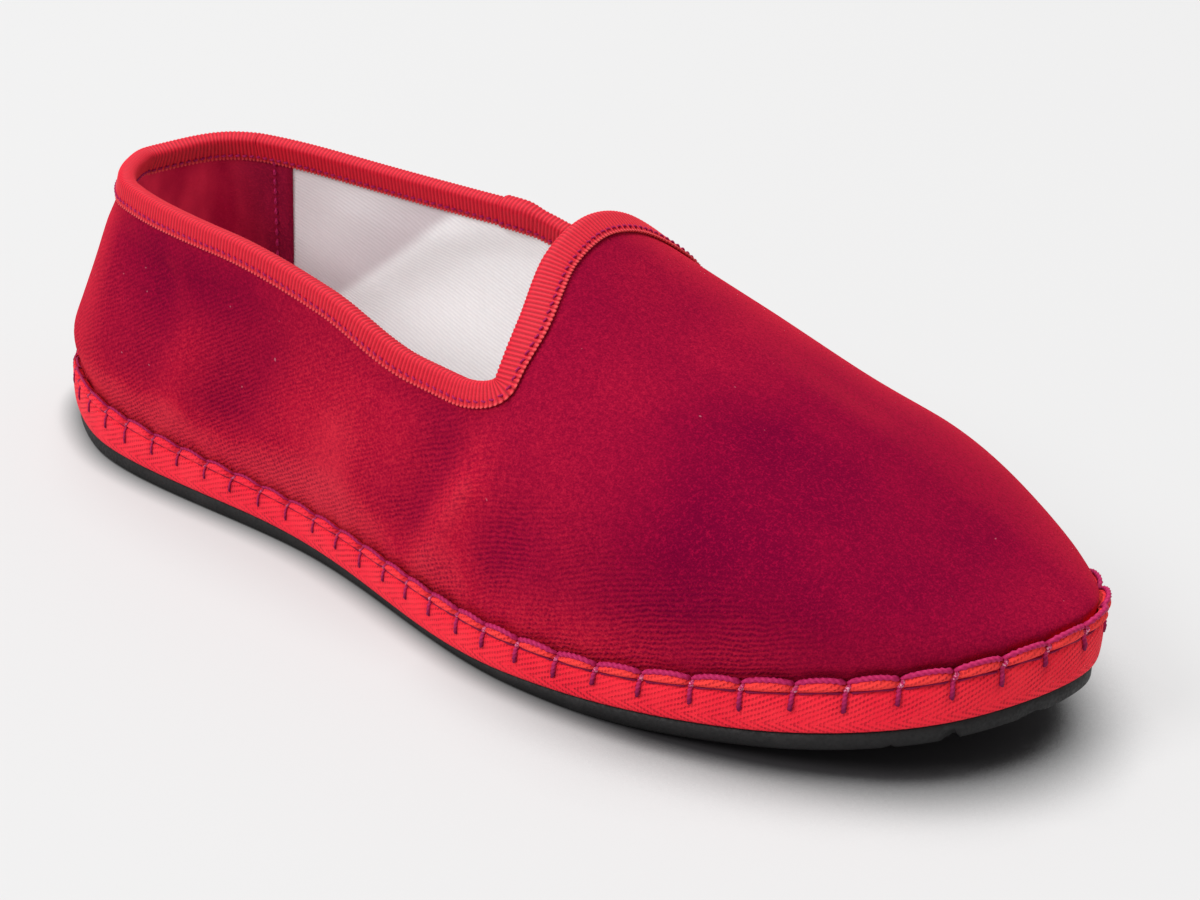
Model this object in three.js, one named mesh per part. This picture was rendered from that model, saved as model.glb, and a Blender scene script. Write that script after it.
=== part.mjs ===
// Furlane slipper for the right foot: a velvet upper on a taped cloth sole with a thin rubber outsole.
// Millimetres, +X to the toe, +Y to the inner side of the foot, +Z up, with the floor at z = 0.
import * as THREE from 'three';

// Driving sizes
const LENGTH = 250;
const BALL_WIDTH = 95.5;
const INSTEP_HEIGHT = 75.4;
const HEEL_HEIGHT = 59.9;
const CLEARANCE = 0.3;
const SIDE_OFFSET = 0.25; // moves the shoe sideways so that the origin is midway between its sides

// Upper
const WALL = 1.6;
const FEATHER = 1.7; // how far the upper's foot stands inside the sole's edge
const TUCK = 1.7; // how far the upper reaches down behind the tape's lip
const HEEL_FAN = 0.12 * LENGTH; // ribs of the heel point at this place on the midline
const TOE_FAN = 0.8 * LENGTH; // ribs of the toe point at this place on the midline
const HEEL_LEAN = 4; // how far the heel would lean forward at the crown
const HEEL_LEAN_END = 46; // where along the shoe the lean has died out
const ROLL_RISE = 0.11; // where up a rib the roll stands out most
const FOOT_STEP = 17; // how far toward the toe the columns under the throat stand, so that none cross
const STEP_RISE = [0.3, 0.53]; // shares of the length over which the step grows
const STEP_FALL = [0.58, 0.72]; // and over which it dies out

// Collar binding
const RIBBON_DEPTH = 4.4; // from the fold down each face
const RIBBON_THICK = 0.6;

// Sole
const OUTSOLE_INSET = 1.2;
const OUTSOLE_BEVEL = 0.6;
const TAPE_THICK = 1.4;
const TAPE_TURN_UNDER = 3.2;
const TAPE_LIP_DROP = 0.14; // of the lip's inner corner below its top
const INSOLE_THICK = 1.6;
const INSOLE_GAP = 1.2; // to the upper's wall, which leans in above the insole

// Mesh steps
const SLACK = 1e-9; // for places that are worked out twice
const STATIONS = 54; // along each side, heel to toe
const FIELD_ROWS = 9; // up the upper, sole to binding or ridge
const OUTLINE_SAMPLES = 480;
const SMALL_TURN = 1e-3; // step for slopes
const PASSES = 3; // steps toward a target on the face
const WELD_PARTS = 1e4; // points within a share of a millimetre are one

// Outline of the sole from above, as shares of the length and of the ball width, counter-clockwise
const OUTLINE = [
  { place: 'heel back', along: 0, across: 0 },
  { place: 'outer heel', along: 0.1, across: -0.265 },
  { place: 'outer waist', along: 0.376, across: -0.351 },
  { place: 'outer ball', along: 0.62, across: -0.503 },
  { place: 'outer forefoot', along: 0.836, across: -0.429 },
  { place: 'outer toe', along: 0.953, across: -0.26 },
  { place: 'toe tip', along: 1, across: 0.03 },
  { place: 'inner toe', along: 0.956, across: 0.222 },
  { place: 'inner forefoot', along: 0.838, across: 0.414 },
  { place: 'inner ball', along: 0.668, across: 0.497 },
  { place: 'inner waist', along: 0.364, across: 0.366 },
  { place: 'inner heel', along: 0.064, across: 0.293 },
];

// Heights of the outsole's underside and of the taped edge, mm: the toe springs up, the heel's back rises a
// little, and the tape reaches lowest at the waist
const EDGE = [
  { along: 0, under: 0.7, bottom: 4.6, top: 14.8 },
  { along: 0.1, under: 0, bottom: 3.9, top: 14.1 },
  { along: 0.3, under: 0, bottom: 3.7, top: 11.7 },
  { along: 0.4, under: 0, bottom: 2.9, top: 11.1 },
  { along: 0.52, under: 0, bottom: 2.2, top: 11.3 },
  { along: 0.66, under: 0, bottom: 3.6, top: 11.9 },
  { along: 0.82, under: 3.6, bottom: 7.5, top: 17.8 },
  { along: 1, under: 12.9, bottom: 16.8, top: 28.3 },
];

// Sections of the last: crown as a share of the instep height, fullness of the superellipse, bulge half way up
// and roll over the tape, both in mm
const SECTIONS = [
  { along: 0, crown: 1.24, fullness: 1.87, bulge: -8, roll: 2 },
  { along: 0.12, crown: 1.21, fullness: 2.28, bulge: -3.4, roll: 1.6 },
  { along: 0.36, crown: 1.24, fullness: 2.9, bulge: 0.4, roll: 0.8 },
  { along: 0.52, crown: 1.035, fullness: 1.92, bulge: 0.7, roll: 0.8 },
  { along: 0.66, crown: 0.805, fullness: 2.25, bulge: 1.7, roll: 0.8 },
  { along: 0.82, crown: 0.628, fullness: 2.35, bulge: 3.4, roll: 0.8 },
  { along: 1, crown: 0.425, fullness: 2.3, bulge: 0.6, roll: 0 },
];

// Collar: its edge's place along the shoe and height, how much higher the inner side's edge is,
// and the place on the sole that the same rib stands on
const COLLAR = [
  { place: 'back', foot: 0, along: 0, height: HEEL_HEIGHT, innerLift: 0 },
  { place: 'side', foot: 0.12, along: 0.12, height: 1.007 * HEEL_HEIGHT, innerLift: 0 },
  { place: 'middle', foot: 0.248, along: 0.26, height: 1.005 * HEEL_HEIGHT, innerLift: -1 },
  { place: 'front', foot: 0.36, along: 0.38, height: 0.76 * INSTEP_HEIGHT, innerLift: 1.6 },
  { place: 'low', foot: 0.444, along: 0.48, height: 0.685 * INSTEP_HEIGHT, innerLift: 2.6 },
  { place: 'corner', foot: 0.484, along: 0.524, height: 0.676 * INSTEP_HEIGHT, innerLift: 2.4 },
  { place: 'turn', foot: 0.528, along: 0.56, height: 0.715 * INSTEP_HEIGHT, innerLift: 1.2 },
  { place: 'flank', foot: 0.576, along: 0.557, height: 0.835 * INSTEP_HEIGHT, innerLift: 0 },
  { place: 'shoulder', foot: 0.624, along: 0.546, height: 0.955 * INSTEP_HEIGHT, innerLift: 0 },
  { place: 'peak', foot: 0.664, along: 0.544, height: INSTEP_HEIGHT, innerLift: 0 },
];

// Section of the tape: inset from the sole's edge in mm, rise as a share of the tape's height
const TAPE_FACE = [
  { inset: TAPE_TURN_UNDER, rise: 0 },
  { inset: 0.9, rise: 0 },
  { inset: 0.1, rise: 0.22 },
  { inset: 0, rise: 0.5 },
  { inset: 0.4, rise: 0.72 },
  { inset: 0, rise: 0.86 },
  { inset: 0.6, rise: 1 },
];

// Numbers between table rows, smooth and without overshoot
function smoothTable(keys, values) {
  const widths = keys.slice(1).map((key, i) => key - keys[i]);
  const grades = widths.map((width, i) => (values[i + 1] - values[i]) / width);
  const slopes = keys.map((key, i) => {
    if (i === 0) return grades[0];
    if (i === keys.length - 1) return grades[i - 1];
    const before = grades[i - 1];
    const after = grades[i];
    return before * after <= 0 ? 0 : (2 * before * after) / (before + after);
  });
  return (key) => {
    const at = THREE.MathUtils.clamp(key, keys[0], keys[keys.length - 1]);
    const i = Math.min(widths.length - 1, Math.max(0, keys.findIndex((k) => k >= at) - 1));
    const t = (at - keys[i]) / widths[i];
    const s = 1 - t;
    const ends = values[i] * s * s * (1 + 2 * t) + values[i + 1] * t * t * (1 + 2 * s);
    return ends + widths[i] * s * t * (slopes[i] * s - slopes[i + 1] * t);
  };
}

const alongTable = (rows, column, unit = 1) =>
  smoothTable(rows.map((row) => row.along * LENGTH), rows.map((row) => row[column] * unit));

const outsoleBottom = alongTable(EDGE, 'under');
const tapeBottom = alongTable(EDGE, 'bottom');
const tapeTop = alongTable(EDGE, 'top');
const crown = alongTable(SECTIONS, 'crown', INSTEP_HEIGHT);
const fullness = alongTable(SECTIONS, 'fullness');
const bulge = alongTable(SECTIONS, 'bulge');
const roll = alongTable(SECTIONS, 'roll');

// Both sides of the outline, from the rearmost point to the foremost one, with inward normals
function outlineSides() {
  const points = OUTLINE.map((row) => new THREE.Vector3(row.along * LENGTH, row.across * BALL_WIDTH, 0));
  const curve = new THREE.CatmullRomCurve3(points, true, 'centripetal');
  const samples = Array.from({ length: OUTLINE_SAMPLES }, (_, i) => {
    const point = curve.getPoint(i / OUTLINE_SAMPLES);
    const along = curve.getTangent(i / OUTLINE_SAMPLES);
    return { x: point.x, y: point.y, nx: -along.y, ny: along.x };
  });
  const heel = samples.reduce((best, s, i) => (s.x < samples[best].x ? i : best), 0);
  const round = [...samples.slice(heel), ...samples.slice(0, heel + 1)];
  const tip = round.reduce((best, s, i) => (s.x > round[best].x ? i : best), 0);
  return { outer: round.slice(0, tip + 1), inner: round.slice(tip).reverse() };
}

const SIDES = outlineSides();
const HEEL_X = SIDES.outer[0].x;
const TOE_X = SIDES.outer[SIDES.outer.length - 1].x;

// A station is an angle, 0 at the heel's back and pi at the toe tip, so that steps stay even round both ends
const stationX = (turn) => THREE.MathUtils.lerp(HEEL_X, TOE_X, (1 - Math.cos(turn)) / 2);

function stationOf(x) {
  const share = THREE.MathUtils.clamp((x - HEEL_X) / (TOE_X - HEEL_X), 0, 1);
  return Math.acos(1 - 2 * share);
}

for (const sample of Object.values(SIDES).flat()) sample.turn = stationOf(sample.x);

// A point of the outline moved inward, at height 0
function outlinePoint(side, turn, inset) {
  const samples = SIDES[side];
  const after = samples.findIndex((s) => s.turn >= turn);
  const i = after < 0 ? samples.length - 1 : Math.max(1, after);
  const [a, b] = [samples[i - 1], samples[i]];
  const share = THREE.MathUtils.clamp((turn - a.turn) / Math.max(b.turn - a.turn, SLACK), 0, 1);
  const mix = (column) => THREE.MathUtils.lerp(a[column], b[column], share);
  const normal = new THREE.Vector2(mix('nx'), mix('ny')).normalize().multiplyScalar(inset);
  return new THREE.Vector3(stationX(turn) + normal.x, mix('y') + normal.y, 0);
}

// Midline that the ribs of the upper point at
function ribCentre(x) {
  const at = THREE.MathUtils.clamp(x, HEEL_FAN, TOE_FAN);
  const turn = stationOf(at);
  const y = (outlinePoint('outer', turn, 0).y + outlinePoint('inner', turn, 0).y) / 2;
  return new THREE.Vector3(at, y, 0);
}

const featherHeight = (x) => tapeTop(x) + CLEARANCE;

// The upper's outer face: a rib stands at each station and rises from 0 at the sole to pi / 2 at the crown
function upperPoint(side, turn, rise) {
  const x = stationX(turn);
  const foot = outlinePoint(side, turn, FEATHER);
  const centre = ribCentre(x);
  const reach = Math.hypot(foot.x - centre.x, foot.y - centre.y);
  const power = 2 / fullness(x);
  const lean = HEEL_LEAN * (1 - THREE.MathUtils.smoothstep(x, 0, HEEL_LEAN_END));
  const across = Math.cos(rise);
  const inward = Math.sign(across) * Math.abs(across) ** power * reach;
  const low = rise / ROLL_RISE;
  const swell = bulge(x) * Math.sin(2 * rise) + roll(x) * low * Math.exp(1 - low) * across;
  const r = inward + swell - lean * Math.sin(rise) ** 2;
  const point = centre.clone().lerp(foot, r / reach);
  const base = featherHeight(x);
  point.z = base + (crown(point.x) - base) * Math.sin(rise) ** power;
  return point;
}

// Where the rib at a station must stop to reach a height
function riseAt(turn, height) {
  const x = stationX(turn);
  const base = featherHeight(x);
  const share = THREE.MathUtils.clamp((height - base) / (crown(x) - base), 0, 1);
  return Math.asin(share ** (fullness(x) / 2));
}

// Collar edge by the station that its rib stands on, mirrored past both ends so that it runs on smoothly.
// Its peak lies on the ridge.
function collarTables() {
  const foot = COLLAR.map((row) => stationOf(row.foot * LENGTH));
  const last = foot.length - 1;
  const keys = [-foot[1], ...foot, 2 * foot[last] - foot[last - 1]];
  const turns = COLLAR.map((row) => stationOf(row.along * LENGTH));
  const heightTable = (rowHeight) => {
    const heights = [...COLLAR.slice(0, last).map(rowHeight), crown(COLLAR[last].along * LENGTH)];
    return smoothTable(keys, [heights[1], ...heights, heights[last - 1]]);
  };
  return {
    peak: foot[last],
    turn: smoothTable(keys, [-turns[1], ...turns, turns[last - 1]]),
    outer: heightTable((row) => row.height),
    inner: heightTable((row) => row.height + row.innerLift),
  };
}

const COLLAR_EDGE = collarTables();

function collarPlace(side, foot) {
  const turn = COLLAR_EDGE.turn(foot);
  const atPeak = foot >= COLLAR_EDGE.peak;
  return { turn, rise: atPeak ? Math.PI / 2 : riseAt(turn, COLLAR_EDGE[side](foot)) };
}

// Partial slopes of the upper's face at a place, by small steps that stay on the rib
function upperSlopes(side, { turn, rise }) {
  const low = Math.min(rise, Math.PI / 2 - SMALL_TURN);
  const middle = upperPoint(side, turn, low);
  return {
    byTurn: upperPoint(side, turn + SMALL_TURN, low).sub(middle).divideScalar(SMALL_TURN),
    byRise: upperPoint(side, turn, low + SMALL_TURN).sub(middle).divideScalar(SMALL_TURN),
  };
}

// The place on the face that lies a distance in from the collar edge, found by steps toward a target
function placeBelowEdge(side, foot, distance) {
  const edge = collarPlace(side, foot);
  if (distance === 0) return edge;
  const start = upperPoint(side, edge.turn, edge.rise);
  const beyond = foot + SMALL_TURN > COLLAR_EDGE.peak ? foot - SMALL_TURN : foot + SMALL_TURN;
  const next = collarPlace(side, beyond);
  const tangent = upperPoint(side, next.turn, next.rise).sub(start).multiplyScalar(Math.sign(beyond - foot));
  const first = upperSlopes(side, edge);
  const normal = first.byTurn.clone().cross(first.byRise);
  const inward = edge.rise === Math.PI / 2 ? first.byTurn.clone() : tangent.cross(normal);
  const target = start.clone().addScaledVector(inward.normalize(), distance);
  const place = { ...edge };
  for (let pass = 0; pass < PASSES; pass += 1) {
    const { byTurn, byRise } = upperSlopes(side, place);
    const miss = target.clone().sub(upperPoint(side, place.turn, place.rise));
    const [uu, uv, vv] = [byTurn.dot(byTurn), byTurn.dot(byRise), byRise.dot(byRise)];
    const [mu, mv] = [miss.dot(byTurn), miss.dot(byRise)];
    const size = uu * vv - uv * uv;
    place.turn += (mu * vv - mv * uv) / size;
    if (edge.rise < Math.PI / 2) place.rise += (mv * uu - mu * uv) / size;
  }
  return place;
}

// A skin of triangles that shares its vertices wherever points meet
class Skin {
  constructor() {
    this.points = [];
    this.faces = [];
    this.known = new Map();
  }

  vertex(point) {
    const key = point.toArray().map((value) => Math.round(value * WELD_PARTS)).join();
    if (!this.known.has(key)) {
      this.known.set(key, this.points.length);
      this.points.push(point.clone());
    }
    return this.known.get(key);
  }

  triangle(a, b, c) {
    if (a !== b && b !== c && c !== a) this.faces.push([a, b, c]);
  }

  quad(a, b, c, d) {
    this.triangle(a, b, c);
    this.triangle(a, c, d);
  }

  normals() {
    const sums = this.points.map(() => new THREE.Vector3());
    for (const face of this.faces) {
      const [a, b, c] = face.map((i) => this.points[i]);
      const normal = b.clone().sub(a).cross(c.clone().sub(a));
      face.forEach((i) => sums[i].add(normal));
    }
    return sums.map((sum) => sum.normalize());
  }

  mesh(name, material) {
    const geometry = new THREE.BufferGeometry();
    const numbers = this.points.flatMap((point) => point.toArray());
    geometry.setAttribute('position', new THREE.Float32BufferAttribute(numbers, 3));
    geometry.setIndex(this.faces.flat());
    geometry.computeVertexNormals();
    const mesh = new THREE.Mesh(geometry, material);
    mesh.name = name;
    return mesh;
  }
}

// Gives an open skin a wall on its inner side and closes the rims
function thicken(skin, wall) {
  const normals = skin.normals();
  const count = skin.points.length;
  const outerFaces = [...skin.faces];
  const inner = skin.points.map((point, i) => point.clone().addScaledVector(normals[i], -wall));
  skin.points.push(...inner);
  const edges = new Set(outerFaces.flatMap(([a, b, c]) => [`${a},${b}`, `${b},${c}`, `${c},${a}`]));
  for (const [a, b, c] of outerFaces) skin.triangle(c + count, b + count, a + count);
  for (const edge of edges) {
    const [a, b] = edge.split(',').map(Number);
    if (!edges.has(`${b},${a}`)) skin.quad(b, a, a + count, b + count);
  }
  return normals;
}

// Columns run round the shoe counter-clockwise: up the outer side to the toe, back along the inner side
const COLUMNS = [
  ...Array.from({ length: STATIONS + 1 }, (_, i) => ({ side: 'outer', turn: (i / STATIONS) * Math.PI })),
  ...Array.from({ length: STATIONS - 1 }, (_, i) => ({ side: 'inner', turn: (1 - (i + 1) / STATIONS) * Math.PI })),
];

// A ring of points round the sole, at an inset and at heights worked out from the place along the shoe
const ring = (inset, heightAt) =>
  COLUMNS.map(({ side, turn }) => outlinePoint(side, turn, inset).setZ(heightAt(stationX(turn))));

// Walls between rings, bottom to top
function addWalls(skin, rings, closed) {
  const ids = rings.map((points) => points.map((point) => skin.vertex(point)));
  const count = closed ? ids.length : ids.length - 1;
  for (let i = 0; i < count; i += 1) {
    const [low, high] = [ids[i], ids[(i + 1) % ids.length]];
    low.forEach((_, k) => {
      const next = (k + 1) % low.length;
      skin.quad(low[k], low[next], high[next], high[k]);
    });
  }
  return ids;
}

// Fills a ring with strips from the outer side to the inner side
function addCap(skin, ids, faceUp) {
  const opposite = (k) => ids[(ids.length - k) % ids.length];
  for (let k = 0; k < STATIONS; k += 1) {
    const strip = [ids[k], ids[k + 1], opposite(k + 1), opposite(k)];
    skin.quad(...(faceUp ? strip : strip.reverse()));
  }
}

// A solid stacked from rings, closed below and above
function stack(rings) {
  const skin = new Skin();
  const ids = addWalls(skin, rings, false);
  addCap(skin, ids[0], false);
  addCap(skin, ids[ids.length - 1], true);
  return skin;
}

// A solid hoop whose section closes on itself
function hoop(rings) {
  const skin = new Skin();
  addWalls(skin, rings, true);
  return skin;
}

const outsoleTop = (x) => tapeBottom(x) - CLEARANCE;
const midsoleTop = (x) => tapeTop(x) - TUCK - CLEARANCE;
const insoleBottom = (x) => midsoleTop(x) + CLEARANCE;

function outsole() {
  return stack([
    ring(OUTSOLE_INSET + OUTSOLE_BEVEL, outsoleBottom),
    ring(OUTSOLE_INSET, (x) => outsoleBottom(x) + OUTSOLE_BEVEL),
    ring(OUTSOLE_INSET, outsoleTop),
  ]);
}

// The midsole fills the tape's channel and steps in over the part of the tape that is turned under
function midsole() {
  const waist = TAPE_TURN_UNDER + CLEARANCE;
  const side = TAPE_THICK + CLEARANCE;
  const stepHeight = (x) => tapeBottom(x) + TAPE_THICK + CLEARANCE;
  return stack([ring(waist, tapeBottom), ring(waist, stepHeight), ring(side, stepHeight), ring(side, midsoleTop)]);
}

function edgeTape() {
  const heightAt = (rise) => (x) => THREE.MathUtils.lerp(tapeBottom(x), tapeTop(x), rise);
  const face = TAPE_FACE.map(({ inset, rise }) => ring(inset, heightAt(rise)));
  return hoop([
    ...face,
    ring(TAPE_THICK, (x) => tapeTop(x) - TAPE_LIP_DROP),
    ring(TAPE_THICK, (x) => tapeBottom(x) + TAPE_THICK),
    ring(TAPE_TURN_UNDER, (x) => tapeBottom(x) + TAPE_THICK),
  ]);
}

function insole() {
  const inset = FEATHER + WALL + INSOLE_GAP;
  return stack([ring(inset, insoleBottom), ring(inset, (x) => insoleBottom(x) + INSOLE_THICK)]);
}

// The station on the ridge that a rib in front of the collar runs up to
function ridgeStation(foot, bindingFront) {
  const share = (stationX(foot) - stationX(COLLAR_EDGE.peak)) / (TOE_FAN - stationX(COLLAR_EDGE.peak));
  return share >= 1 ? foot : stationOf(THREE.MathUtils.lerp(stationX(bindingFront), TOE_FAN, share));
}

// The column nearest to the collar's peak, and the scale that moves its station onto the peak
function upperColumns() {
  const outer = COLUMNS.slice(0, STATIONS + 1);
  const gap = ({ turn }) => Math.abs(turn - COLLAR_EDGE.peak);
  const peak = outer.reduce((best, column, i) => (gap(column) < gap(outer[best]) ? i : best), 0);
  return { peak, scale: COLLAR_EDGE.peak / outer[peak].turn };
}

const { peak: PEAK_COLUMN, scale: PEAK_SCALE } = upperColumns();

// The station on the sole that a column of the upper stands on
function columnFoot(turn) {
  const along = stationX(turn) / LENGTH;
  const grown = THREE.MathUtils.smoothstep(along, ...STEP_RISE);
  const left = 1 - THREE.MathUtils.smoothstep(along, ...STEP_FALL);
  return stationOf(stationX(turn) + FOOT_STEP * grown * left);
}

// Vertices of one column of the upper's outer face, from the tucked foot up to the edge or the ridge
function columnPoints({ side, turn }, stripDepths) {
  const peakTurn = COLUMNS[PEAK_COLUMN].turn;
  const inCollar = turn <= peakTurn + SLACK;
  const collarFoot = Math.min(turn * PEAK_SCALE, COLLAR_EDGE.peak);
  const stripSide = collarFoot === COLLAR_EDGE.peak ? 'outer' : side;
  const strip = inCollar ? stripDepths.map((depth) => placeBelowEdge(stripSide, collarFoot, depth)) : [];
  const front = placeBelowEdge('outer', COLLAR_EDGE.peak, RIBBON_DEPTH).turn;
  const scaledFoot = COLLAR_EDGE.peak + ((turn - peakTurn) * (Math.PI - COLLAR_EDGE.peak)) / (Math.PI - peakTurn);
  const top = inCollar ? strip[0] : { turn: ridgeStation(scaledFoot, front), rise: Math.PI / 2 };
  const foot = columnFoot(turn);
  const tucked = outlinePoint(side, foot, FEATHER).setZ(tapeTop(stationX(foot)) - TUCK);
  const field = Array.from({ length: FIELD_ROWS }, (_, row) => {
    const share = row / FIELD_ROWS;
    return upperPoint(side, THREE.MathUtils.lerp(foot, top.turn, share), top.rise * share);
  });
  const places = inCollar ? strip : [top];
  return [tucked, ...field, ...places.map((place) => upperPoint(side, place.turn, place.rise))];
}

// The upper's outer face as a skin, with the vertex numbers of the strip under the collar edge
function upperFace() {
  const skin = new Skin();
  const stripDepths = [RIBBON_DEPTH, RIBBON_DEPTH / 2, 0];
  const columns = COLUMNS.map((column) => columnPoints(column, stripDepths).map((point) => skin.vertex(point)));
  columns.forEach((column, k) => {
    const next = columns[(k + 1) % columns.length];
    const rows = Math.min(column.length, next.length) - 1;
    for (let row = 0; row < rows; row += 1) skin.quad(column[row], next[row], next[row + 1], column[row + 1]);
  });
  const inCollar = [
    ...columns.slice(0, PEAK_COLUMN + 1),
    ...columns.slice(COLUMNS.length - PEAK_COLUMN + 1),
  ];
  return { skin, strips: inCollar.map((column) => column.slice(-stripDepths.length)) };
}

// The ribbon wraps the collar edge: outside leaf up, over the fold, inside leaf down, and back along the wall
function collarBinding(points, normals, strips) {
  const near = CLEARANCE;
  const far = CLEARANCE + RIBBON_THICK;
  const section = ([low, middle, edge]) => {
    const up = points[edge].clone().sub(points[middle]).normalize();
    const at = (id, out, lift) => points[id].clone().addScaledVector(normals[id], out).addScaledVector(up, lift);
    return [
      at(low, far, 0),
      at(middle, far, 0),
      at(edge, far, 0),
      at(edge, far / 2, far),
      at(edge, -WALL - far / 2, far),
      at(edge, -WALL - far, 0),
      at(middle, -WALL - far, 0),
      at(low, -WALL - far, 0),
      at(low, -WALL - near, 0),
      at(middle, -WALL - near, 0),
      at(edge, -WALL - near, near),
      at(edge, near, near),
      at(middle, near, 0),
      at(low, near, 0),
    ];
  };
  const sections = strips.map(section);
  return hoop(sections[0].map((_, i) => sections.map((points) => points[i])));
}

// Materials
const fabric = (colour, roughness) => new THREE.MeshStandardMaterial({ color: colour, roughness, metalness: 0 });
const VELVET = fabric('#9c1228', 0.95);
const RIBBON = fabric('#e02532', 0.7);
const TAPE = fabric('#d81e33', 0.85);
const CANVAS = fabric('#d9d4cd', 0.9);
const COTTON = fabric('#e6e2df', 0.9);
const RUBBER = fabric('#17171a', 0.75);

// Assembly
const { skin: upper, strips: collarStrips } = upperFace();
const outerPoints = upper.points.map((point) => point.clone());
const upperNormals = thicken(upper, WALL);

const slipper = new THREE.Group();
slipper.position.set(-LENGTH / 2, SIDE_OFFSET, 0);
slipper.add(
  outsole().mesh('outsole', RUBBER),
  midsole().mesh('midsole', CANVAS),
  edgeTape().mesh('edge_tape', TAPE),
  insole().mesh('insole', COTTON),
  upper.mesh('upper', VELVET),
  collarBinding(outerPoints, upperNormals, collarStrips).mesh('collar_binding', RIBBON),
);

export default slipper;
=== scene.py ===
# Furlane slipper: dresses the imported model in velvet, grosgrain ribbon, stitched tape, twill and rubber.
import math

import bpy
import numpy as np
from mathutils import Matrix


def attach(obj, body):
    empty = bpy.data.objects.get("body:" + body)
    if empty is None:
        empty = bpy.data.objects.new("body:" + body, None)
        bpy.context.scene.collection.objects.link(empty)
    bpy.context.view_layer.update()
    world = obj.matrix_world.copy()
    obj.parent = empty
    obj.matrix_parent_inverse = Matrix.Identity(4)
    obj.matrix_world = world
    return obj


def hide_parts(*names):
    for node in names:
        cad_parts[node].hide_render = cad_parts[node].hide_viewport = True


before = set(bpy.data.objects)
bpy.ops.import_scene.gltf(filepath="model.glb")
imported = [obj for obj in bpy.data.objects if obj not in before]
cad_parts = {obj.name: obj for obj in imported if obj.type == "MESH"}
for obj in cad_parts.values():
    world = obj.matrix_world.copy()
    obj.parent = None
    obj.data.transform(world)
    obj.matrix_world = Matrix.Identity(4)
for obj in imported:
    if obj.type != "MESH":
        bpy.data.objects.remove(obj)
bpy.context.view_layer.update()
rng = np.random.default_rng(7)

# Sizes of the shoe, mm, as the solids have them
LENGTH = 250.0
BALL_WIDTH = 95.5
INSTEP_HEIGHT = 75.4
HEEL_HEIGHT = 59.9
CLEARANCE = 0.3
SIDE_OFFSET = 0.25
WALL = 1.6
FEATHER = 1.7
TUCK = 1.7
HEEL_FAN = 0.12 * LENGTH
TOE_FAN = 0.8 * LENGTH
HEEL_LEAN = 4.0
HEEL_LEAN_END = 46.0
ROLL_RISE = 0.11
RIBBON_DEPTH = 4.4
OUTSOLE_INSET = 1.2
OUTSOLE_BEVEL = 0.6
TAPE_THICK = 1.4
TAPE_TURN_UNDER = 3.2
INSOLE_THICK = 1.6

# Velvet, lining and insole, mm
VELVET_THICK = 0.8
LINING_THICK = 0.6
LINING_GAP = 0.1
VELVET_RIB_PITCH = 1.05
VELVET_DOT_PITCH = 0.98
TWILL_SLANT = 0.36
HEEL_TUCK_OUT = 0.3
INSOLE_GAP = 0.5
INSOLE_BEVEL = 0.4
INSOLE_DISH = 0.35
INSOLE_RIM_POWER = 6

# Where the velvet's ribs show: how far up the cloth at the waist and at the toe, and how much
WEAVE_REACH = (60.0, 27.0)
WEAVE_REACH_SPAN = (130.0, 190.0)
WEAVE_HIGH = 0.65
WEAVE_HIGH_SPAN = (5.0, 20.0)
WEAVE_TOE = 0.12
WEAVE_TOE_SPAN = (198.0, 220.0)

# Collar ribbon, mm: its skin stands off the cloth most at the fold and is pressed flat at the stitches
RIB_PITCH = 0.92
RIB_RELIEF = 0.2
RIB_ROUND = 1.6
RIBBON_FOLD = 1.15
RIBBON_FOLD_POWER = 0.8
RIBBON_STAND = (0.92, 0.62)
RIBBON_PRESS = 0.14
RIBBON_PRESS_SHARE = 0.12
RIBBON_LEAF = (1.0, 0.93, 0.85, 0.74, 0.6, 0.45, 0.3, 0.15, 0.0)
RIBBON_BACK = 0.12
RIBBON_BACK_LIFT = 0.4
SCALLOP = (0.05, 0.28)
PICOT_SHARE = 0.84
LAP_PLACE = 92.0
LAP_LENGTH = 5.0
LAP_EDGE = 0.5
LAP_THICK = 0.55

# Heel lining, mm
HEEL_PATCH_FRONT = 38.0
HEEL_PATCH_STITCH = 34.0
# Where the heel lining turns darker toward the front, painted shade deep in the shoe
HEEL_SHADE_SPAN = (20.0, 31.0)
PATCH_LEAN = 6.0
PATCH_GAP = 0.35
PATCH_HALF = 0.2
PATCH_TOP = 2.2
PATCH_LOW = 0.03
PATCH_STITCHES = 14
PATCH_STITCH_SPAN = (0.06, 0.97)

# Edge tape, mm, with rises as shares of its height: pinched at each leg of the stitch and puffed between
GROOVE_RISE = 0.77
# Painted shade in the groove under the lip: its width and its strength at the heel and the toe
GROOVE_WIDTH = 0.022
GROOVE_SHADES = (0.4, 1.0)
LIP_RISE = 0.88
LIP_TOP = (0.8, 1.0)
# Painted highlight on the pillows, which lie between these rises
PILLOW_RISE = (0.79, 0.86)
PILLOW_END = (0.97, 0.99)
# Painted shade beside each leg, where the tape is drawn in
LEG_SHADE = 0.55
LEG_SHADE_RISE = (0.34, 0.5)
LEG_SHADE_WIDTH = 0.9
PUFFS = (0.25, 0.5)
PINCH_WIDTH = 0.7
PINCH_IN = 0.4
PINCH_FACE = 0.25
PINCH_FACE_RISE = (0.3, 0.4)
PINCH_DROP = 0.3
DIP_IN = 0.2
DIP_DROP = 1.1
LIP_CROWN = 0.4
LIP_LEAN = 1.1
LIP_DROP = 2.8
LIP_LEAN_SPAN = (3.0, 22.0)
TAPE_BACK_GAP = 0.2
TAPE_BACK_RUN = 2.0

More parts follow.
